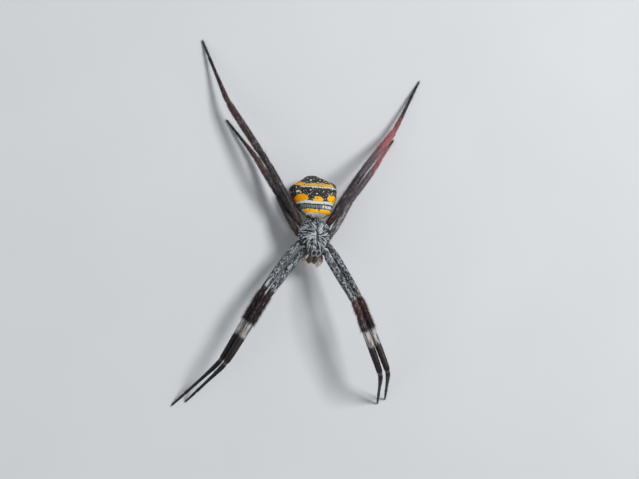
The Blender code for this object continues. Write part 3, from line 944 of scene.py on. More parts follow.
# Name: place along, half width, bow, from side, to side, softness, wobble, colour.
ABDOMEN_BANDS = {
    "front_edge": (0.10, 0.08, 0.05, -1.5, 1.5, 0.03, 0.05, CREAM),
    "front_ends": (0.37, 0.22, 0.08, -1.95, 2.2, 0.04, 0.06, CREAM),
    "front_orange": (0.36, 0.175, 0.07, -1.62, 1.85, 0.02, 0.05, ORANGE),
    "slate_front_line": (0.61, 0.05, 0.07, -1.8, 1.9, 0.03, 0.05, SOOT),
    "slate_rear_line": (1.07, 0.06, 0.05, -2.2, 2.2, 0.03, 0.04, SOOT),
    "slate": (0.83, 0.18, 0.07, -2.0, 2.1, 0.03, 0.04, SLATE),
    "middle_cream": (1.29, 0.15, 0.05, -2.4, 2.7, 0.03, 0.05, CREAM),
    "rear_line": (3.13, 0.085, 0.04, -1.75, 2.8, 0.025, 0.04, CREAM),
    "rear_yellow": (3.44, 0.22, 0.03, -1.85, 2.15, 0.02, 0.16, PALE_YELLOW),
}
# Name: side, place along, half width, height, flatness of the front, colour.
ABDOMEN_LOBES = {
    "left_lobe": (1.98, 1.73, 0.88, 0.64, 3.0, ORANGE),
    "right_lobe": (-1.86, 1.72, 0.80, 0.62, 3.0, DEEP_ORANGE),
    "middle_lobe": (0.0, 1.57, 0.60, 0.42, 2.6, ORANGE),
    "tail_corner": (-1.84, 3.86, 0.46, 0.42, 1.0, ORANGE),
    "crescent": (-2.08, 2.70, 0.20, 0.11, 1.0, CREAM),
}
print("abdomen:", len(ABDOMEN_BANDS), "bands and", len(ABDOMEN_LOBES), "lobes")

# %% Abdomen colours
def abdomen_colours():
    tree, given, result = group("abdomen colours", {"Mark": VECTOR},
                                {"Colour": BLACK, "Relief": 0.0})
    mark = given["Mark"]
    across, along, height = apart(mark)
    askew = along + across * SKEW
    dots, small, fine = (use(SPECKLES, Vector=mark, Scale=scale, Size=size)
                         for scale, size in ((3.4, 0.27), (5.6, 0.30), (11.0, 0.30)))
    shade = mixed(noise(mark, 1.5, 4.0), SOOT, (0.030, 0.026, 0.023))
    shade = mixed(fine * 0.5, shade, (0.09, 0.085, 0.08))
    shade = mixed(small * 0.75, shade, (0.38, 0.38, 0.36))
    shade = mixed(dots, shade, (0.66, 0.66, 0.63))
    # The blunt front is grey, and streaked by its hair.
    hairs = noise(packed(across * 7.0, along, height), 1.6, 3.0)
    shoulder = mixed(ease(hairs, 0.42, 0.64), (0.035, 0.041, 0.046), (0.36, 0.39, 0.40))
    shade = mixed(1.0 - ease(askew, 0.06, 0.14), shade, shoulder)
    pale = 0.0
    for place, half, bow, start, end, soft, wobble, tint in ABDOMEN_BANDS.values():
        mask = use(BAND, Across=across, Along=askew, Place=place, Half_width=half, Bow=bow,
                   From=start, To=end, Softness=soft, Wobble=wobble)
        shade = mixed(mask, shade, tint)
        pale = calc("MAXIMUM", pale, mask)
    # Blue-grey streaks in the slate band, and white patches on its left with black dashes.
    combed = noise(packed(across * 5.0, askew), 2.0, 3.0)
    in_slate = use(BAND, Across=across, Along=askew, Place=0.83, Half_width=0.16, Bow=0.07,
                   From=-1.9, To=2.1)
    shade = mixed(in_slate * ease(combed, 0.52, 0.66), shade, (0.21, 0.25, 0.26))
    shade = mixed(in_slate * ease(combed, 0.47, 0.36), shade, (0.030, 0.042, 0.048))
    patch = use(BAND, Across=across, Along=askew, Place=0.80, Half_width=0.11, Bow=0.07,
                From=0.35, To=1.9, Wobble=0.12)
    shade = mixed(patch * ease(combed, 0.42, 0.50), shade, (0.62, 0.62, 0.58))
    for side, place, half, tall, flatness, tint in ABDOMEN_LOBES.values():
        mask = use(LOBE, Across=across, Along=askew, Side=side, Place=place,
                   Half_width=half, Height=tall, Flatness=flatness)
        shade = mixed(mask, shade, tint)
        pale = calc("MAXIMUM", pale, mask)
    # Tiny black dots on the pale bands.
    pin = use(SPECKLES, Vector=mark, Scale=2.6, Size=0.22)
    shade = mixed(pin * pale * 0.9, shade, SOOT)
    # Dark dents on both sides of the midline.
    folded = abs(across)
    for side, place, radius in SIGILLA[:3]:
        away = length_of(packed(folded - side, along - place))
        shade = mixed((1.0 - ease(away, radius * 0.45, radius * 0.95)) * 0.9, shade, SOOT)
    # Flanks: brown with pale upright streaks. Belly: black between two yellow stripes.
    streaks = noise(packed(along * 3.2, height), 1.4, 3.0)
    flank = mixed(ease(streaks, 0.47, 0.62), (0.045, 0.035, 0.03), (0.33, 0.27, 0.17))
    flank = mixed(dots * 0.8, flank, CREAM)
    belly = mixed(noise(mark, 3.0, 3.0), (0.012, 0.010, 0.009), (0.05, 0.035, 0.028))
    stripe = use(BAND, Across=along - 2.6, Along=folded, Place=0.85, Half_width=0.17,
                 Bow=-0.05, From=-1.5, To=1.4)
    belly = mixed(stripe, belly, (0.58, 0.42, 0.08))
    belly = mixed(dots * 0.6, belly, (0.40, 0.38, 0.33))
    side_share = 1.0 - ease(height, 0.02, 0.42)
    shade = mixed(side_share, shade, flank)
    shade = mixed(1.0 - ease(height, -1.05, -0.65), shade, belly)
    wire(result["Colour"], scaled(shade, 0.82 + noise(mark, 5.0, 4.0) * 0.36))
    wire(result["Relief"], pale * (1.0 - side_share) + dots * 0.5)
    return tree


ABDOMEN_COLOURS = abdomen_colours()
print("abdomen colours:", len(ABDOMEN_COLOURS.nodes), "nodes")

# %% [markdown]
# ### Carapace and leg colours
#
# Flat silver hair lies on the dark carapace in strokes that run out from the fovea. The
# shield is cut into sectors, and each sector's strokes are noise, stretched along its own
# straight run and tight across it. A leg's colours are a ramp along its length: grey and
# spotted femora, then dark shins with a white ring, on the two front pairs, and brown on the
# two rear pairs. At the ends of the left rear shins, a painted rose glow stands for light
# shining through them from behind.

# %% Carapace colours
SECTORS = 12
REAR_EYES = (0.26, -1.90)    # side, place along the body, of the two rear middle eyes


def carapace_colours():
    tree, given, result = group("carapace colours", {"Mark": VECTOR}, {"Colour": BLACK})
    mark = given["Mark"]
    across, along, _ = apart(mark)
    x = across - FOVEA[0]
    y = along - FOVEA[1]
    step = 2 * math.pi / SECTORS
    turn = calc("ARCTAN2", x, y * -1.0) + noise(mark, 1.1) * 0.5
    sector = calc("ROUND", turn / step)
    middle = sector * step
    sine, cosine = calc("SINE", middle), calc("COSINE", middle)
    outwards = x * sine - y * cosine
    sideways = x * cosine + y * sine
    stroke = noise(packed(outwards * 1.8, sideways * 8.8, sector * 4.3), 1.0, 1.0)
    patches = noise(mark, 0.9)
    edge = 0.52 + (patches - 0.5) * -0.04
    silver = ease(stroke, edge - 0.018, edge + 0.018)
    midline = use(BAND, Across=along, Along=across, Place=0.02, Half_width=0.07, From=-1.5,
                  To=1.8, Softness=0.05)
    silver = silver * (1.0 - midline * 0.75)
    # A ring of silver hair round each of the two rear middle eyes, parted by a dark gap from
    # the strokes behind it.
    from_eye = length_of(packed(abs(across) - REAR_EYES[0], along - REAR_EYES[1]))
    eye_ring = 1.0 - ease(abs(from_eye - 0.26), 0.030, 0.060)
    gap = 1.0 - ease(abs(from_eye - 0.38), 0.03, 0.07)
    silver = silver * (1.0 - gap * 0.8) * ease(from_eye, 0.18, 0.23)
    silver = calc("MAXIMUM", silver, eye_ring * 0.9)
    ground = mixed(noise(mark, 2.2, 3.0), (0.010, 0.013, 0.016), (0.040, 0.050, 0.055))
    bright = mixed(patches, (0.42, 0.47, 0.50), (0.72, 0.74, 0.75))
    wire(result["Colour"], mixed(silver, ground, bright))
    return tree


CARAPACE_COLOURS = carapace_colours()
print("carapace:", SECTORS, "sectors of strokes")

# %% Colours along a leg
LEG_LENGTHS = 5.0
# Place along the leg, counted in solids, then red, green and blue.
FRONT_LEG_STOPS = [
    (0.0, 0.05, 0.052, 0.056), (0.9, 0.20, 0.215, 0.23), (1.1, 0.31, 0.335, 0.36),
    (1.75, 0.29, 0.31, 0.335), (1.88, 0.40, 0.40, 0.415), (1.955, 0.32, 0.31, 0.31),
    (1.99, 0.030, 0.018, 0.015), (2.12, 0.034, 0.019, 0.015), (2.41, 0.013, 0.009, 0.008),
    (2.43, 0.50, 0.47, 0.46), (2.60, 0.50, 0.47, 0.45), (2.62, 0.012, 0.010, 0.010),
    (2.80, 0.020, 0.012, 0.010), (2.965, 0.009, 0.008, 0.008), (3.0, 0.12, 0.11, 0.11),
    (3.04, 0.009, 0.008, 0.008), (5.0, 0.007, 0.007, 0.007),
]
REAR_LEG_STOPS = [
    (0.0, 0.05, 0.045, 0.04), (0.9, 0.055, 0.040, 0.036), (1.06, 0.055, 0.022, 0.018),
    (1.28, 0.038, 0.025, 0.027), (1.90, 0.040, 0.027, 0.029), (2.0, 0.020, 0.012, 0.011),
    (2.2, 0.034, 0.022, 0.022), (2.5, 0.040, 0.027, 0.027), (2.78, 0.050, 0.027, 0.025),
    (2.97, 0.050, 0.024, 0.021), (3.05, 0.034, 0.018, 0.016), (3.6, 0.022, 0.013, 0.012),
    (3.9, 0.009, 0.008, 0.008), (5.0, 0.007, 0.007, 0.007),
]
# Painted light: the rose in this ramp stands for light shining through the thin left shins from
# behind. The brown is their own colour.
BACKLIT_ROSE_STOPS = [
    (0.0, 0.06, 0.035, 0.03), (1.06, 0.065, 0.024, 0.021), (1.35, 0.072, 0.052, 0.060),
    (1.9, 0.085, 0.064, 0.076), (2.1, 0.095, 0.070, 0.082), (2.28, 0.12, 0.076, 0.090),
    (2.50, 0.23, 0.085, 0.098), (2.80, 0.34, 0.098, 0.105), (3.02, 0.28, 0.085, 0.090),
    (3.25, 0.18, 0.055, 0.056), (3.42, 0.055, 0.021, 0.020), (3.5, 0.012, 0.009, 0.009),
    (5.0, 0.007, 0.007, 0.007),
]


def along_leg(share, stops):
    """A Color Ramp with the stops of one of the tables above."""
    tint = lay("ShaderNodeValToRGB", "Color", {0: share})
    elements = tint.socket.node.color_ramp.elements
    ends = [elements[0], elements[1]]
    for number, (place, *shade) in enumerate([stops[0], stops[-1], *stops[1:-1]]):
        element = ends[number] if number < 2 else elements.new(place / LEG_LENGTHS)
        element.position, element.color = place / LEG_LENGTHS, (*shade, 1.0)
    return tint


print("leg ramps:", len(FRONT_LEG_STOPS), len(REAR_LEG_STOPS), len(BACKLIT_ROSE_STOPS), "stops")

# %% Leg colours
def leg_colours():
    tree, given, result = group("leg colours", {"Mark": VECTOR}, {"Colour": BLACK})
    place, around, leg = apart(given["Mark"])
    # Each colour ends in a ragged edge of hairs.
    ragged = noise(packed(place * 5.0, around * 9.0, leg * 3.0), 1.0)
    # On the third left leg, number 3.5, the painted glow of light through the leg begins late and
    # runs on to the foot.
    third = calc("GREATER_THAN", leg, 3.25) * calc("LESS_THAN", leg, 3.75)
    late = (ease(place, 2.0, 2.5) * 0.52 + ease(place, 3.2, 4.2) * 0.50) * third
    spot = place + (ragged - 0.5) * 0.13 - late
    share = spot / LEG_LENGTHS
    rear = ease(leg, 2.6, 2.9)
    # Every left leg carries a half in its number. The left legs get a rose tint, and on the rear
    # legs it is painted light shining through them from behind.
    rosy = calc("GREATER_THAN", calc("FRACT", leg), 0.25)
    rear_tint = mixed(rosy, along_leg(share, REAR_LEG_STOPS), along_leg(share, BACKLIT_ROSE_STOPS))
    knee = between(place, 1.96, 2.03, 2.15, 2.38) * rosy
    front_tint = mixed(knee * 0.8, along_leg(share, FRONT_LEG_STOPS), (0.062, 0.017, 0.011))
    # On the right front legs the dark begins before the knee.
    early = ease(spot, 1.90, 1.925) * (1.0 - ease(place, 2.0, 2.03)) * (1.0 - rosy)
    front_tint = mixed(early, front_tint, (0.030, 0.018, 0.016))
    shade = mixed(rear, front_tint, rear_tint)
    # Painted highlight: the third left thigh, beside the fourth, gets a fringe of pale hair, as if
    # lit from behind.
    pale = third * between(place, 0.95, 1.15, 1.72, 1.98) * ease(ragged, 0.40, 0.56)
    shade = mixed(pale * 0.85, shade, (0.34, 0.34, 0.35))
    # Rows of short dark dashes on the femora and, further apart in place, on the short hips.
    rows_along = calc("MAXIMUM", place, 1.0) * 26.0 + calc("MINIMUM", place, 1.0) * 5.0
    rows = packed(rows_along, around * 9.0, leg * 8.0 + 0.5)
    spots = use(SPECKLES, Vector=rows, Scale=1.0, Size=0.70, Disorder=0.8)
    spotted = spots * between(place, 0.1, 0.3, 1.93, 1.99) * (0.97 - rear * 0.40)
    shade = mixed(spotted, shade, (0.010, 0.010, 0.011))
    # Short pale dashes on the dark lengths.
    dashes = packed(place * 15.0, around * 11.0, leg * 5.0)
    dash = use(SPECKLES, Vector=dashes, Scale=1.0, Size=0.32)
    on_dark = calc("MAXIMUM", between(place, 1.98, 2.05, 2.36, 2.42), rear * 0.7)
    shade = mixed(dash * on_dark * 0.7, shade, (0.30, 0.29, 0.30))
    # Dark hairs run through the white ring.
    comb = noise(packed(place * 7.0, around * 18.0, leg), 1.0)
    on_ring = between(place, 2.38, 2.44, 2.58, 2.66) * (1.0 - rear) * ease(comb, 0.47, 0.55)
    shade = mixed(on_ring * 0.85, shade, (0.035, 0.028, 0.026))
    # Fine streaks along the leg, and wider clouds.
    streak = ease(ragged, 0.36, 0.56) * 0.5
    clouds = noise(packed(place * 6.5, around * 1.25, leg * 7.0), 1.7, 4.0)
    wire(result["Colour"], scaled(shade, streak + (0.18 + clouds * 0.9)))
    return tree


LEG_COLOURS = leg_colours()
print("leg colours:", len(LEG_COLOURS.nodes), "nodes")

# %% [markdown]
# ### Fine relief
#
# Cuticle isn't smooth: it is leathery on the abdomen and finely netted elsewhere. One group
# mixes a coarse noise and a fine net into a height, and every skin material places it with
# its own scales. Object coordinates are in metres, and are scaled up here to millimetres.

# %% Relief group
def object_place(tree):
    return lay("ShaderNodeTexCoord", "Object", {}, tree)


def relief_group():
    tree, given, result = group("fine relief", {
        "Coarse": 4.0, "Fine": 18.0, "Fine share": 0.4, "Marks": 0.0}, {"Height": 0.0})
    place = scaled(object_place(tree), 1 / MM)
    net = lay("ShaderNodeTexVoronoi", "Distance", {"Vector": place, "Scale": given["Fine"]})
    coarse = noise(place, given["Coarse"], 4.0)
    wire(result["Height"], coarse + net * given["Fine share"] + given["Marks"])
    return tree


RELIEF = relief_group()
print("relief:", len(RELIEF.nodes), "nodes")

# %% Skin finishes
def finish(name, roughness, specular=0.5, coat=0.0, coat_roughness=0.1):
    """A material with its constant values set, ready for its patterns."""
    made = bpy.data.materials.new(name)
    made.use_nodes = True
    sockets = made.node_tree.nodes["Principled BSDF"].inputs
    sockets["Roughness"].default_value = roughness
    sockets["Specular IOR Level"].default_value = specular
    sockets["Coat Weight"].default_value = coat
    sockets["Coat Roughness"].default_value = coat_roughness
    return made, made.node_tree, sockets


def skin_finish(name, colours, roughness, specular, depth, coarse, fine, marks=None):
    """A skin with wandering roughness, and a relief whose depth is in millimetres."""
    made, tree, sockets = finish(name, roughness, specular)
    mark = field(tree, "mark")
    tint = use(colours, Mark=mark)
    wire(sockets["Base Color"], tint)
    wire(sockets["Roughness"], roughness - 0.1 + noise(mark, 3.0, 3.0) * 0.22)
    height = use(RELIEF, tree, Coarse=coarse, Fine=fine, Fine_share=0.5,
                 Marks=tint.also(marks) if marks else 0.0)
    bump = lay("ShaderNodeBump", "Normal", {"Distance": depth * MM, "Height": height})
    wire(sockets["Normal"], bump)
    return made


def plain_colours(name, dark, light, scale):
    """A group that wanders between two colours, for parts with no pattern of their own."""
    tree, given, result = group(name, {"Mark": VECTOR}, {"Colour": BLACK})
    share = ease(noise(given["Mark"], scale, 4.0), 0.32, 0.68)
    wire(result["Colour"], mixed(share, dark, light))
    return tree


JAW_COLOURS = plain_colours("jaw colours", (0.030, 0.021, 0.015), (0.17, 0.115, 0.080), 7.0)
PALP_COLOURS = plain_colours("palp colours", (0.26, 0.21, 0.18), (0.60, 0.50, 0.46), 6.0)
UNDER_COLOURS = plain_colours("underside colours", (0.020, 0.015, 0.012),
                              (0.085, 0.062, 0.045), 2.5)
# In the order of the lofts' kinds: roughness, specular, depth, coarse scale, fine scale.
SKIN_FINISHES = [
    skin_finish("carapace_skin", CARAPACE_COLOURS, 0.50, 0.45, 0.03, 5.0, 16.0),
    skin_finish("abdomen_skin", ABDOMEN_COLOURS, 0.52, 0.16, 0.035, 3.5, 12.0, "Relief"),
    skin_finish("leg_skin", LEG_COLOURS, 0.45, 0.30, 0.02, 6.0, 20.0),
    skin_finish("jaw_skin", JAW_COLOURS, 0.35, 0.5, 0.015, 8.0, 24.0),
    skin_finish("palp_skin", PALP_COLOURS, 0.48, 0.4, 0.015, 8.0, 24.0),
    skin_finish("underside_skin", UNDER_COLOURS, 0.45, 0.4, 0.02, 6.0, 20.0),
]
print("skin finishes:", [made.name for made in SKIN_FINISHES])

# %% Finish the skin
SHARP_EDGE = 55          # degrees past which an edge is shaded as an edge
kinds = np.zeros(len(skin.data.vertices), np.float32)
skin.data.attributes["kind"].data.foreach_get("value", kinds)
skin.data.materials.clear()
for made in SKIN_FINISHES:
    skin.data.materials.append(made)
for face in skin.data.polygons:
    face.material_index = int(round(max(kinds[corner] for corner in face.vertices)))
skin.data.transform(Matrix.Scale(MM, 4))
skin.data.shade_smooth()
skin.data.set_sharp_from_angle(angle=math.radians(SHARP_EDGE))
print("skin materials used:", sorted({face.material_index for face in skin.data.polygons}))

# %% Finish the eyes, fangs and claws
def two_tone(name, roughness, specular, scale, dark, light, detail=3.0, **coat):
    """A material that wanders between two colours by its place on the object."""
    made, tree, sockets = finish(name, roughness, specular, **coat)
    place = object_place(tree)
    wire(sockets["Base Color"], mixed(noise(place, scale, detail), dark, light))
    return made, sockets, place


eye_black, _, _ = two_tone("eye_black", 0.12, 0.6, 9000.0, (0.004, 0.004, 0.005),
                           (0.030, 0.018, 0.014), coat=1.0, coat_roughness=0.03)
horn, sockets, place = two_tone("fang_horn", 0.25, 0.5, 4000.0, (0.016, 0.007, 0.005),
                                (0.09, 0.030, 0.018), coat=0.4, coat_roughness=0.15)
wire(sockets["Roughness"], 0.18 + noise(place, 9000.0) * 0.25)
for piece, made in ((eyes, eye_black), (fangs, horn), (claws, horn)):
    piece.data.materials.append(made)
    print(piece.name, "in", made.name)

# %% [markdown]
# ## Hair
#
# The coat is thousands of small solid tufts. Geometry Nodes scatter them over the part's own
# grid, because a rule follows a surface better than a hand does: each tuft stands on a
# point, leans along the lie of the hair, and strays a little. The tree ends by making the
# tufts real mesh, and gives each one a patch of the OFBake map at its root's place.

# %% One tuft
def tuft_shape(name, rows):
    """A small three-sided tapered blade along +Y, from a row for each of its rings."""
    build = bmesh.new()
    leaf = build.loops.layers.uv.new("leaf")
    rings = []
    for along, side, half, ridge, lift in rows[:-1]:
        corners = ((side - half, along, lift), (side + half, along, lift),
                   (side, along, lift + ridge))
        rings.append([build.verts.new(corner) for corner in corners])
    along, side, _, _, lift = rows[-1]
    tip = build.verts.new((side, along, lift))

    def panel(corners, places):
        face = build.faces.new(corners)
        for loop, place in zip(face.loops, places):
            loop[leaf].uv = place

    count = len(rings)
    for number, ring in enumerate(rings):
        low, high = number / count, (number + 1) / count
        for edge in range(3):
            left, right, onward = edge / 3, (edge + 1) / 3, (edge + 1) % 3
            if number + 1 < count:
                above = rings[number + 1]
                panel((ring[edge], ring[onward], above[onward], above[edge]),
                      ((left, low), (right, low), (right, high), (left, high)))
            else:
                panel((ring[edge], ring[onward], tip),
                      ((left, low), (right, low), ((left + right) / 2, 1)))
    panel(rings[0][::-1], ((0, 0), (1, 0), (0.5, 0.12)))
    mesh = bpy.data.meshes.new(name)
    build.to_mesh(mesh)
    build.free()
    face_outwards(mesh)
    mesh.shade_smooth()
    fill_field(mesh, "tip", np.array([corner.co[1] for corner in mesh.vertices]))
    return bpy.data.objects.new(name, mesh)


def tuft_set(name, shapes):
    """A collection that the scattering tree picks its tufts from. It isn't in the scene."""
    kept = bpy.data.collections.new(name)
    for number, rows in enumerate(shapes):
        kept.objects.link(tuft_shape(f"{name}_{number}", rows))
    return kept

# %% Sets of tufts
# Along, side, half width, ridge, lift, as shares of a tuft's own length or width.
HAIR_ROOT = (0.0, 0.0, 0.5, 0.8, 0.0)
FLAT_TUFTS = tuft_set("flat_tuft", [
    [(0.0, 0.0, 0.30, 0.30, 0.0), (0.45, 0.1, 0.50, 0.40, 0.15), (1.0, 0.3, 0, 0, 0.0)],
    [(0.0, 0.0, 0.34, 0.30, 0.0), (0.40, -0.15, 0.46, 0.36, 0.2), (1.0, -0.5, 0, 0, 0.3)],
    [(0.0, 0.0, 0.26, 0.28, 0.0), (0.55, 0.0, 0.42, 0.40, 0.1), (1.0, 0.1, 0, 0, -0.2)],
])
HAIR_TUFTS = tuft_set("hair_tuft", [
    [HAIR_ROOT, (0.5, 0.2, 0.36, 0.6, 0.5), (1.0, 0.9, 0, 0, 0.0)],
    [HAIR_ROOT, (0.5, -0.3, 0.36, 0.6, 0.6), (1.0, -1.2, 0, 0, 0.3)],
    [HAIR_ROOT, (0.5, 0.0, 0.36, 0.6, 0.3), (1.0, 0.2, 0, 0, -0.4)],
])
SPINES = tuft_set("spine", [
    [(0.0, 0.0, 0.5, 0.9, 0.0), (0.3, 0.0, 0.42, 0.75, 0.3), (0.7, 0.1, 0.26, 0.45, 0.2),
     (1.0, 0.3, 0, 0, -0.6)],
])
print("tuft sets:", [kept.name for kept in (FLAT_TUFTS, HAIR_TUFTS, SPINES)])

# %% The scattering tree
PATCH = 0.003            # size of a tuft's patch on the flat map
# The rows of settings further down follow this order.
COAT_INPUTS = {"Tufts": "Collection", "Finish": "Material", "Spacing": "Float",
               "Crowding": "Float", "Length": "Float", "Width": "Float", "Lift": "Float",
               "Stray": "Float", "Seed": "Int"}


def coat_tree():
    tree = bpy.data.node_groups.new("coat of tufts", "GeometryNodeTree")
    for label, kind in {"Skin": "Geometry", **COAT_INPUTS}.items():
        tree.interface.new_socket(label, in_out="INPUT", socket_type=f"NodeSocket{kind}")
    tree.interface.new_socket("Coat", in_out="OUTPUT", socket_type="NodeSocketGeometry")
    given = given_values(tree)
    seed = given["Seed"]

    def named(name, kind="FLOAT_VECTOR"):
        return lay("GeometryNodeInputNamedAttribute", "Attribute", {"Name": name}, tree,
                   data_type=kind)

    def random(low, high, salt, kind="FLOAT"):
        return lay("FunctionNodeRandomValue", "Value",
                   {"Min": low, "Max": high, "Seed": seed + salt}, data_type=kind)

    roots = lay("GeometryNodeDistributePointsOnFaces", "Points", {
        "Mesh": given["Skin"], "Distance Min": given["Spacing"],
        "Density Max": given["Crowding"], "Density Factor": named("hair", "FLOAT"),
        "Seed": seed}, distribute_method="POISSON")
    normal = roots.also("Normal")

    lie = lay("ShaderNodeVectorRotate", 0, {"Vector": named("lie"), "Axis": normal,
                                            "Angle": given["Stray"] * random(-1.0, 1.0, 11)})
    lift = given["Lift"] * random(0.5, 1.5, 23)
    direction = vector_calc("ADD", scaled(lie, calc("COSINE", lift)),
                            scaled(normal, calc("SINE", lift)))
    rotation = lay("FunctionNodeAxesToRotation", "Rotation",
                   {"Primary Axis": direction, "Secondary Axis": normal},
                   primary_axis="Y", secondary_axis="Z")

    toned = lay("GeometryNodeStoreNamedAttribute", "Geometry",
                {"Geometry": roots, "Name": "tone", "Value": random(0.0, 1.0, 37)},
                data_type="FLOAT", domain="POINT")
    shapes = lay("GeometryNodeCollectionInfo", "Instances", {
        "Collection": given["Tufts"], "Separate Children": True, "Reset Children": True})
    wide = given["Width"] * random(0.75, 1.3, 53)
    long = given["Length"] * random(0.65, 1.3, 61)
    planted = lay("GeometryNodeInstanceOnPoints", "Instances", {
        "Points": toned, "Instance": shapes, "Pick Instance": True,
        "Instance Index": random(0, 2, 41, "INT"), "Rotation": rotation,
        "Scale": packed(wide, long, wide)})
    real = lay("GeometryNodeRealizeInstances", "Geometry", {"Geometry": planted})

    patch = scaled(vector_calc("SUBTRACT", named("leaf"), (0.5, 0.5, 0.0)), PATCH)
    mapped = lay("GeometryNodeStoreNamedAttribute", "Geometry",
                 {"Geometry": real, "Name": "OFBake",
                  "Value": vector_calc("ADD", named("unwrap"), patch)},
                 data_type="FLOAT2", domain="CORNER")
    coloured = lay("GeometryNodeSetMaterial", "Geometry",
                   {"Geometry": mapped, "Material": given["Finish"]})
    wire(tree.nodes.new("NodeGroupOutput").inputs[0], coloured)
    return tree


COAT_TREE = coat_tree()
print("coat tree:", len(COAT_TREE.nodes), "nodes")

# %% [markdown]
# ### Where each coat grows
#
# A coat grows on the grid of its part, not on the joined skin, so that the hair's lie and
# its place on the flat map are known everywhere. The hair field leaves out the roots that
# the body hides. Four coats are thinned further: silver hair keeps off the eyes, grey hair
# stands on the abdomen's blunt front, a fringe on the front legs' shins, and spines on the
# legs' middle lengths.

# %% The ground that a coat grows on
def growing_ground(name, part_names, keep):
    """One surface from the grids of several parts, facing outwards. keep thins the hair."""
    points, faces, start = [], [], 0
    gathered = {}
    for part in part_names:
        grid, fields = COATS[part]
        fields = {**fields, "hair": fields["hair"] * keep(grid, fields["mark"])}
        corner = np.arange(grid[..., 0].size).reshape(grid.shape[:2])
        sides = np.stack([corner[:-1, :-1], corner[:-1, 1:], corner[1:, 1:], corner[1:, :-1]],
                         -1).reshape(-1, 4)
        normal = np.cross(np.gradient(grid, axis=1), np.gradient(grid, axis=0))
        if (normal * (grid - grid.mean(1, keepdims=True))).sum() < 0:
            sides = sides[:, ::-1]
        points.append(grid.reshape(-1, 3))
        faces.append(sides + start)
        start += corner.size
        for field_name, values in fields.items():
            flat = values.reshape(-1, 3) if values.ndim == 3 else values.reshape(-1)
            gathered.setdefault(field_name, []).append(flat)
    fields = {field_name: np.concatenate(values) for field_name, values in gathered.items()}
    return new_piece(name, np.vstack(points), np.vstack(faces).tolist(), fields)

# %% Where hair is kept
def everywhere(grid, mark):
    return 1.0


def on_long_legs(grid, mark):
    """Between hip and ankle, clear of the floor and of the highest knees."""
    place, height = mark[..., 0], grid[..., 2]
    return (place > 1.2) * (place < 3.7) * (height > 1.0) * (height < 6.6)


def on_the_shins(grid, mark):
    """The dark shins, which carry a fringe of longer hair, clear of the highest knee."""
    place, height = mark[..., 0], grid[..., 2]
    fringed = np.clip((place - 1.95) / 0.05, 0, 1) * np.clip((2.42 - place) / 0.05, 0, 1)
    return fringed * (height < 6.4)


def on_the_shoulder(grid, mark):
    """The blunt front of the abdomen, above its waist."""
    return np.clip((0.20 - mark[..., 1]) / 0.12, 0, 1) * (mark[..., 2] > -0.2)


def clear_of_eyes(grid, mark):
    """Leave out every tuft that would lie over an eye. The skin round the eyes is bare."""
    lie = normalised(mark - HAIR_CENTRE)
    kept = np.ones(mark.shape[:2])
    for centre, radius in EYES.values():
        eye = (centre - BODY_PLACE) @ BODY_TURN
        ahead = np.clip(((eye - mark) * lie).sum(-1), 0, 0.30)
        off = np.linalg.norm(eye - mark - lie * ahead[..., None], axis=-1)
        kept *= off > radius + 0.03
    return kept

# %% Hair finishes, and growing a coat
def coat_finish(name, colours, lighten, darken, roughness=0.5):
    """Hair takes the skin's colour at its root, lighter at the tip, with a tone of its own."""
    made, tree, sockets = finish(name, roughness, 0.35)
    tint = use(colours, Mark=field(tree, "mark"))
    tone, tip = field(tree, "tone", "Fac"), field(tree, "tip", "Fac")
    gain = (darken + tone * (lighten - darken)) * (0.8 + tip * 0.4)
    wire(sockets["Base Color"], scaled(tint, gain))
    return made


def grow(name, part_names, keep, settings):
    ground = growing_ground(f"{name}_ground", part_names, keep)
    growth = ground.modifiers.new("coat", "NODES")
    growth.node_group = COAT_TREE
    sockets = {item.name: item.identifier for item in COAT_TREE.interface.items_tree
               if item.in_out == "INPUT"}
    for label, value in zip(COAT_INPUTS, settings):
        growth[sockets[label]] = value
    coat = plain_copy(name, ground)
    mesh = coat.data
    mesh.name = name
    mesh.transform(Matrix.Scale(MM, 4))
    mesh.uv_layers.remove(mesh.uv_layers["leaf"])
    mesh.uv_layers.active = mesh.uv_layers["OFBake"]
    triangles = sum(len(face.vertices) - 2 for face in mesh.polygons)
    print(f"{name}: {triangles} triangles, maps {[layer.name for layer in mesh.uv_layers]}")
    return coat

# %% Grow the coats
FRONT_LEGS = [f"skin_leg_{pair}_{side}" for pair in (1, 2) for side in SIDES]
REAR_LEGS = [f"skin_leg_{pair}_{side}" for pair in (3, 4) for side in SIDES]
BOTH_JAWS = ["skin_jaw_right", "skin_jaw_left"]
BOTH_PALPS = ["skin_palp_right", "skin_palp_left"]
silver_hair = coat_finish("carapace_hair", CARAPACE_COLOURS, 1.5, 0.8, 0.45)
abdomen_hair = coat_finish("abdomen_hair", ABDOMEN_COLOURS, 1.5, 0.7)
front_hair = coat_finish("front_leg_hair", LEG_COLOURS, 1.6, 0.6)
rear_hair = coat_finish("rear_leg_hair", LEG_COLOURS, 2.3, 0.6)
shoulder_hair = coat_finish("shoulder_hair", ABDOMEN_COLOURS, 1.9, 0.5)
jaw_hair = coat_finish("jaw_hair", JAW_COLOURS, 2.2, 0.8)
palp_hair = coat_finish("palp_hair", PALP_COLOURS, 1.5, 0.7)
spine_horn = coat_finish("spine_horn", UNDER_COLOURS, 1.6, 0.5, 0.35)
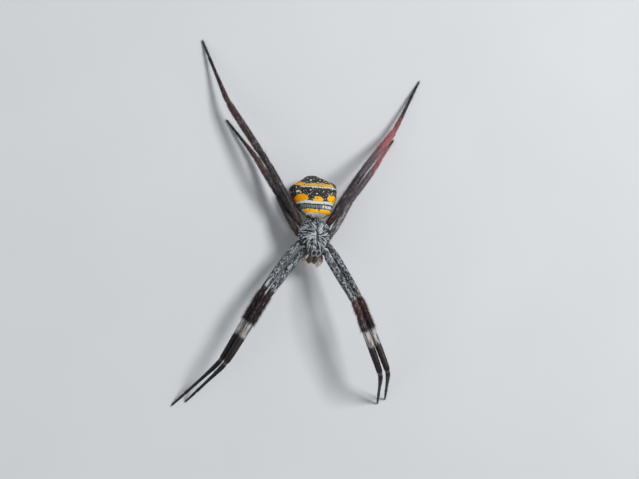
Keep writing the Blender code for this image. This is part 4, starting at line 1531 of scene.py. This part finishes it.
# Name, slot, parts, where, then tufts, finish, spacing, crowding, length, width, lift, stray
# and seed. Sizes are in millimetres, and angles in radians.
COAT_ROWS = [
    ("carapace_coat", "silver_hair", ["skin_carapace"], clear_of_eyes,
     (FLAT_TUFTS, silver_hair, 0.032, 1300.0, 0.24, 0.034, 0.10, 0.12, 3)),
    ("abdomen_coat", "banded_abdomen", ["skin_abdomen"], everywhere,
     (HAIR_TUFTS, abdomen_hair, 0.09, 90.0, 0.17, 0.010, 0.28, 0.5, 5)),
    ("front_leg_coat", "mottled_leg", FRONT_LEGS, everywhere,
     (HAIR_TUFTS, front_hair, 0.075, 150.0, 0.14, 0.013, 0.26, 0.3, 7)),
    ("rear_leg_coat", "dark_leg", REAR_LEGS, everywhere,
     (HAIR_TUFTS, rear_hair, 0.068, 210.0, 0.30, 0.015, 0.38, 0.35, 9)),
    ("jaw_coat", "jaw", BOTH_JAWS, everywhere,
     (HAIR_TUFTS, jaw_hair, 0.07, 200.0, 0.24, 0.014, 0.4, 0.4, 11)),
    ("palp_coat", "feeler", BOTH_PALPS, everywhere,
     (HAIR_TUFTS, palp_hair, 0.06, 260.0, 0.22, 0.014, 0.4, 0.4, 13)),
    ("leg_spines", "dark_leg", [*FRONT_LEGS, *REAR_LEGS], on_long_legs,
     (SPINES, spine_horn, 0.6, 2.4, 0.55, 0.018, 0.42, 0.2, 17)),
    ("shoulder_coat", "silver_hair", ["shoulder"], on_the_shoulder,
     (HAIR_TUFTS, shoulder_hair, 0.030, 1500.0, 0.42, 0.017, 0.50, 0.5, 19)),
    ("shin_coat", "dark_leg", FRONT_LEGS, on_the_shins,
     (HAIR_TUFTS, front_hair, 0.045, 420.0, 0.42, 0.014, 0.62, 0.4, 23)),
]
coats = [(grow(name, parts, keep, settings), slot_name)
         for name, slot_name, parts, keep, settings in COAT_ROWS]

# %% [markdown]
# ## Putting the model together
#
# Nothing moves in this still model, so every piece rides on the one body. The skin stands
# for the soft solids, and the eyes and fangs for their own. The claws and coats are new.

# %% Rides and replacements
EYE_NODES = [name for name in frame["nodes"] if name.startswith("eye_")]
FANG_NODES = [name for name in frame["nodes"] if name.startswith("fang_")]
SOFT_NODES = [name for name in frame["nodes"] if name not in EYE_NODES + FANG_NODES]
for piece, slot_name in ((skin, "silver_hair"), (eyes, "eye"), (fangs, "jaw"),
                         (claws, "dark_leg"), *coats):
    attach(piece, "root")
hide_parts(*SOFT_NODES)
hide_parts(*EYE_NODES)
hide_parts(*FANG_NODES)
print("solids replaced:", len(SOFT_NODES), "soft,", len(EYE_NODES + FANG_NODES), "hard")

# %% [markdown]
# ## Floor, light and camera
#
# A plain pale floor, a large soft lamp over one shoulder, a weaker one opposite, and an even
# sky. The camera looks down steeply on the spider's back.

# %% Floor and lamps
REACH = 0.6              # metres from the middle to the floor's edge
corners = np.array([(-1, -1, 0), (1, -1, 0), (1, 1, 0), (-1, 1, 0)]) * REACH
floor = new_piece("floor", corners, [(0, 1, 2, 3)])
paper, _, _ = two_tone("pale_floor", 0.85, 0.2, 60.0, (0.52, 0.53, 0.54), (0.56, 0.57, 0.58),
                       detail=2.0)
floor.data.materials.append(paper)
middle = box_middle(box_of("carapace")) * MM


def soft_lamp(name, shift, size, power):
    """A round lamp, shifted from the carapace and aimed at it."""
    lamp = bpy.data.lights.new(name, "AREA")
    lamp.shape = "DISK"
    lamp.size = size
    lamp.energy = power
    holder = add_object(name, lamp)
    holder.location = middle + shift
    holder.rotation_euler = (-Vector(shift)).to_track_quat("-Z", "Y").to_euler()


soft_lamp("key_lamp", (0.14, 0.10, 0.26), 0.12, 0.95)
soft_lamp("fill_lamp", (-0.20, -0.12, 0.16), 0.18, 0.14)
world = bpy.data.worlds.new("studio")
bpy.context.scene.world = world
world.use_nodes = True
sky = world.node_tree.nodes["Background"].inputs
sky["Color"].default_value = (0.9, 0.94, 1.0, 1.0)
sky["Strength"].default_value = 0.36
bpy.context.scene.view_settings.view_transform = "Standard"
print("lamps aim at, mm:", (middle / MM).round(1))

# %% Camera
HEADING, HEIGHT_ANGLE, ROLL = -64.0, 73.0, 68.7
DISTANCE = 0.0985
TARGET_SHIFT = (0.00047, -0.00018, 0.0)
LENS = 50.0
NEAREST = 0.005          # metres from the camera, nearer than any hair


def place_camera():
    across, rise, roll = (math.radians(angle) for angle in (HEADING, HEIGHT_ANGLE, ROLL))
    back = Vector((math.sin(across) * math.cos(rise), -math.cos(across) * math.cos(rise),
                   math.sin(rise)))
    level = Vector((math.cos(across), math.sin(across), 0))
    upright = back.cross(level)
    right = level * math.cos(roll) + upright * math.sin(roll)
    up = upright * math.cos(roll) - level * math.sin(roll)
    holder = add_object("camera", bpy.data.cameras.new("camera"))
    holder.data.lens = LENS
    holder.data.clip_start = NEAREST
    turned_to = Matrix((right, up, back)).transposed().to_4x4()
    spot = Vector(middle) + Vector(TARGET_SHIFT) + back * DISTANCE
    holder.matrix_world = Matrix.Translation(spot) @ turned_to
    bpy.context.scene.camera = holder
    return holder


camera = place_camera()
print("camera at, mm:", (np.array(camera.matrix_world.translation) / MM).round(1))

# %% The end
for unused in [thing for thing in bpy.data.objects if not thing.users_collection]:
    bpy.data.objects.remove(unused)
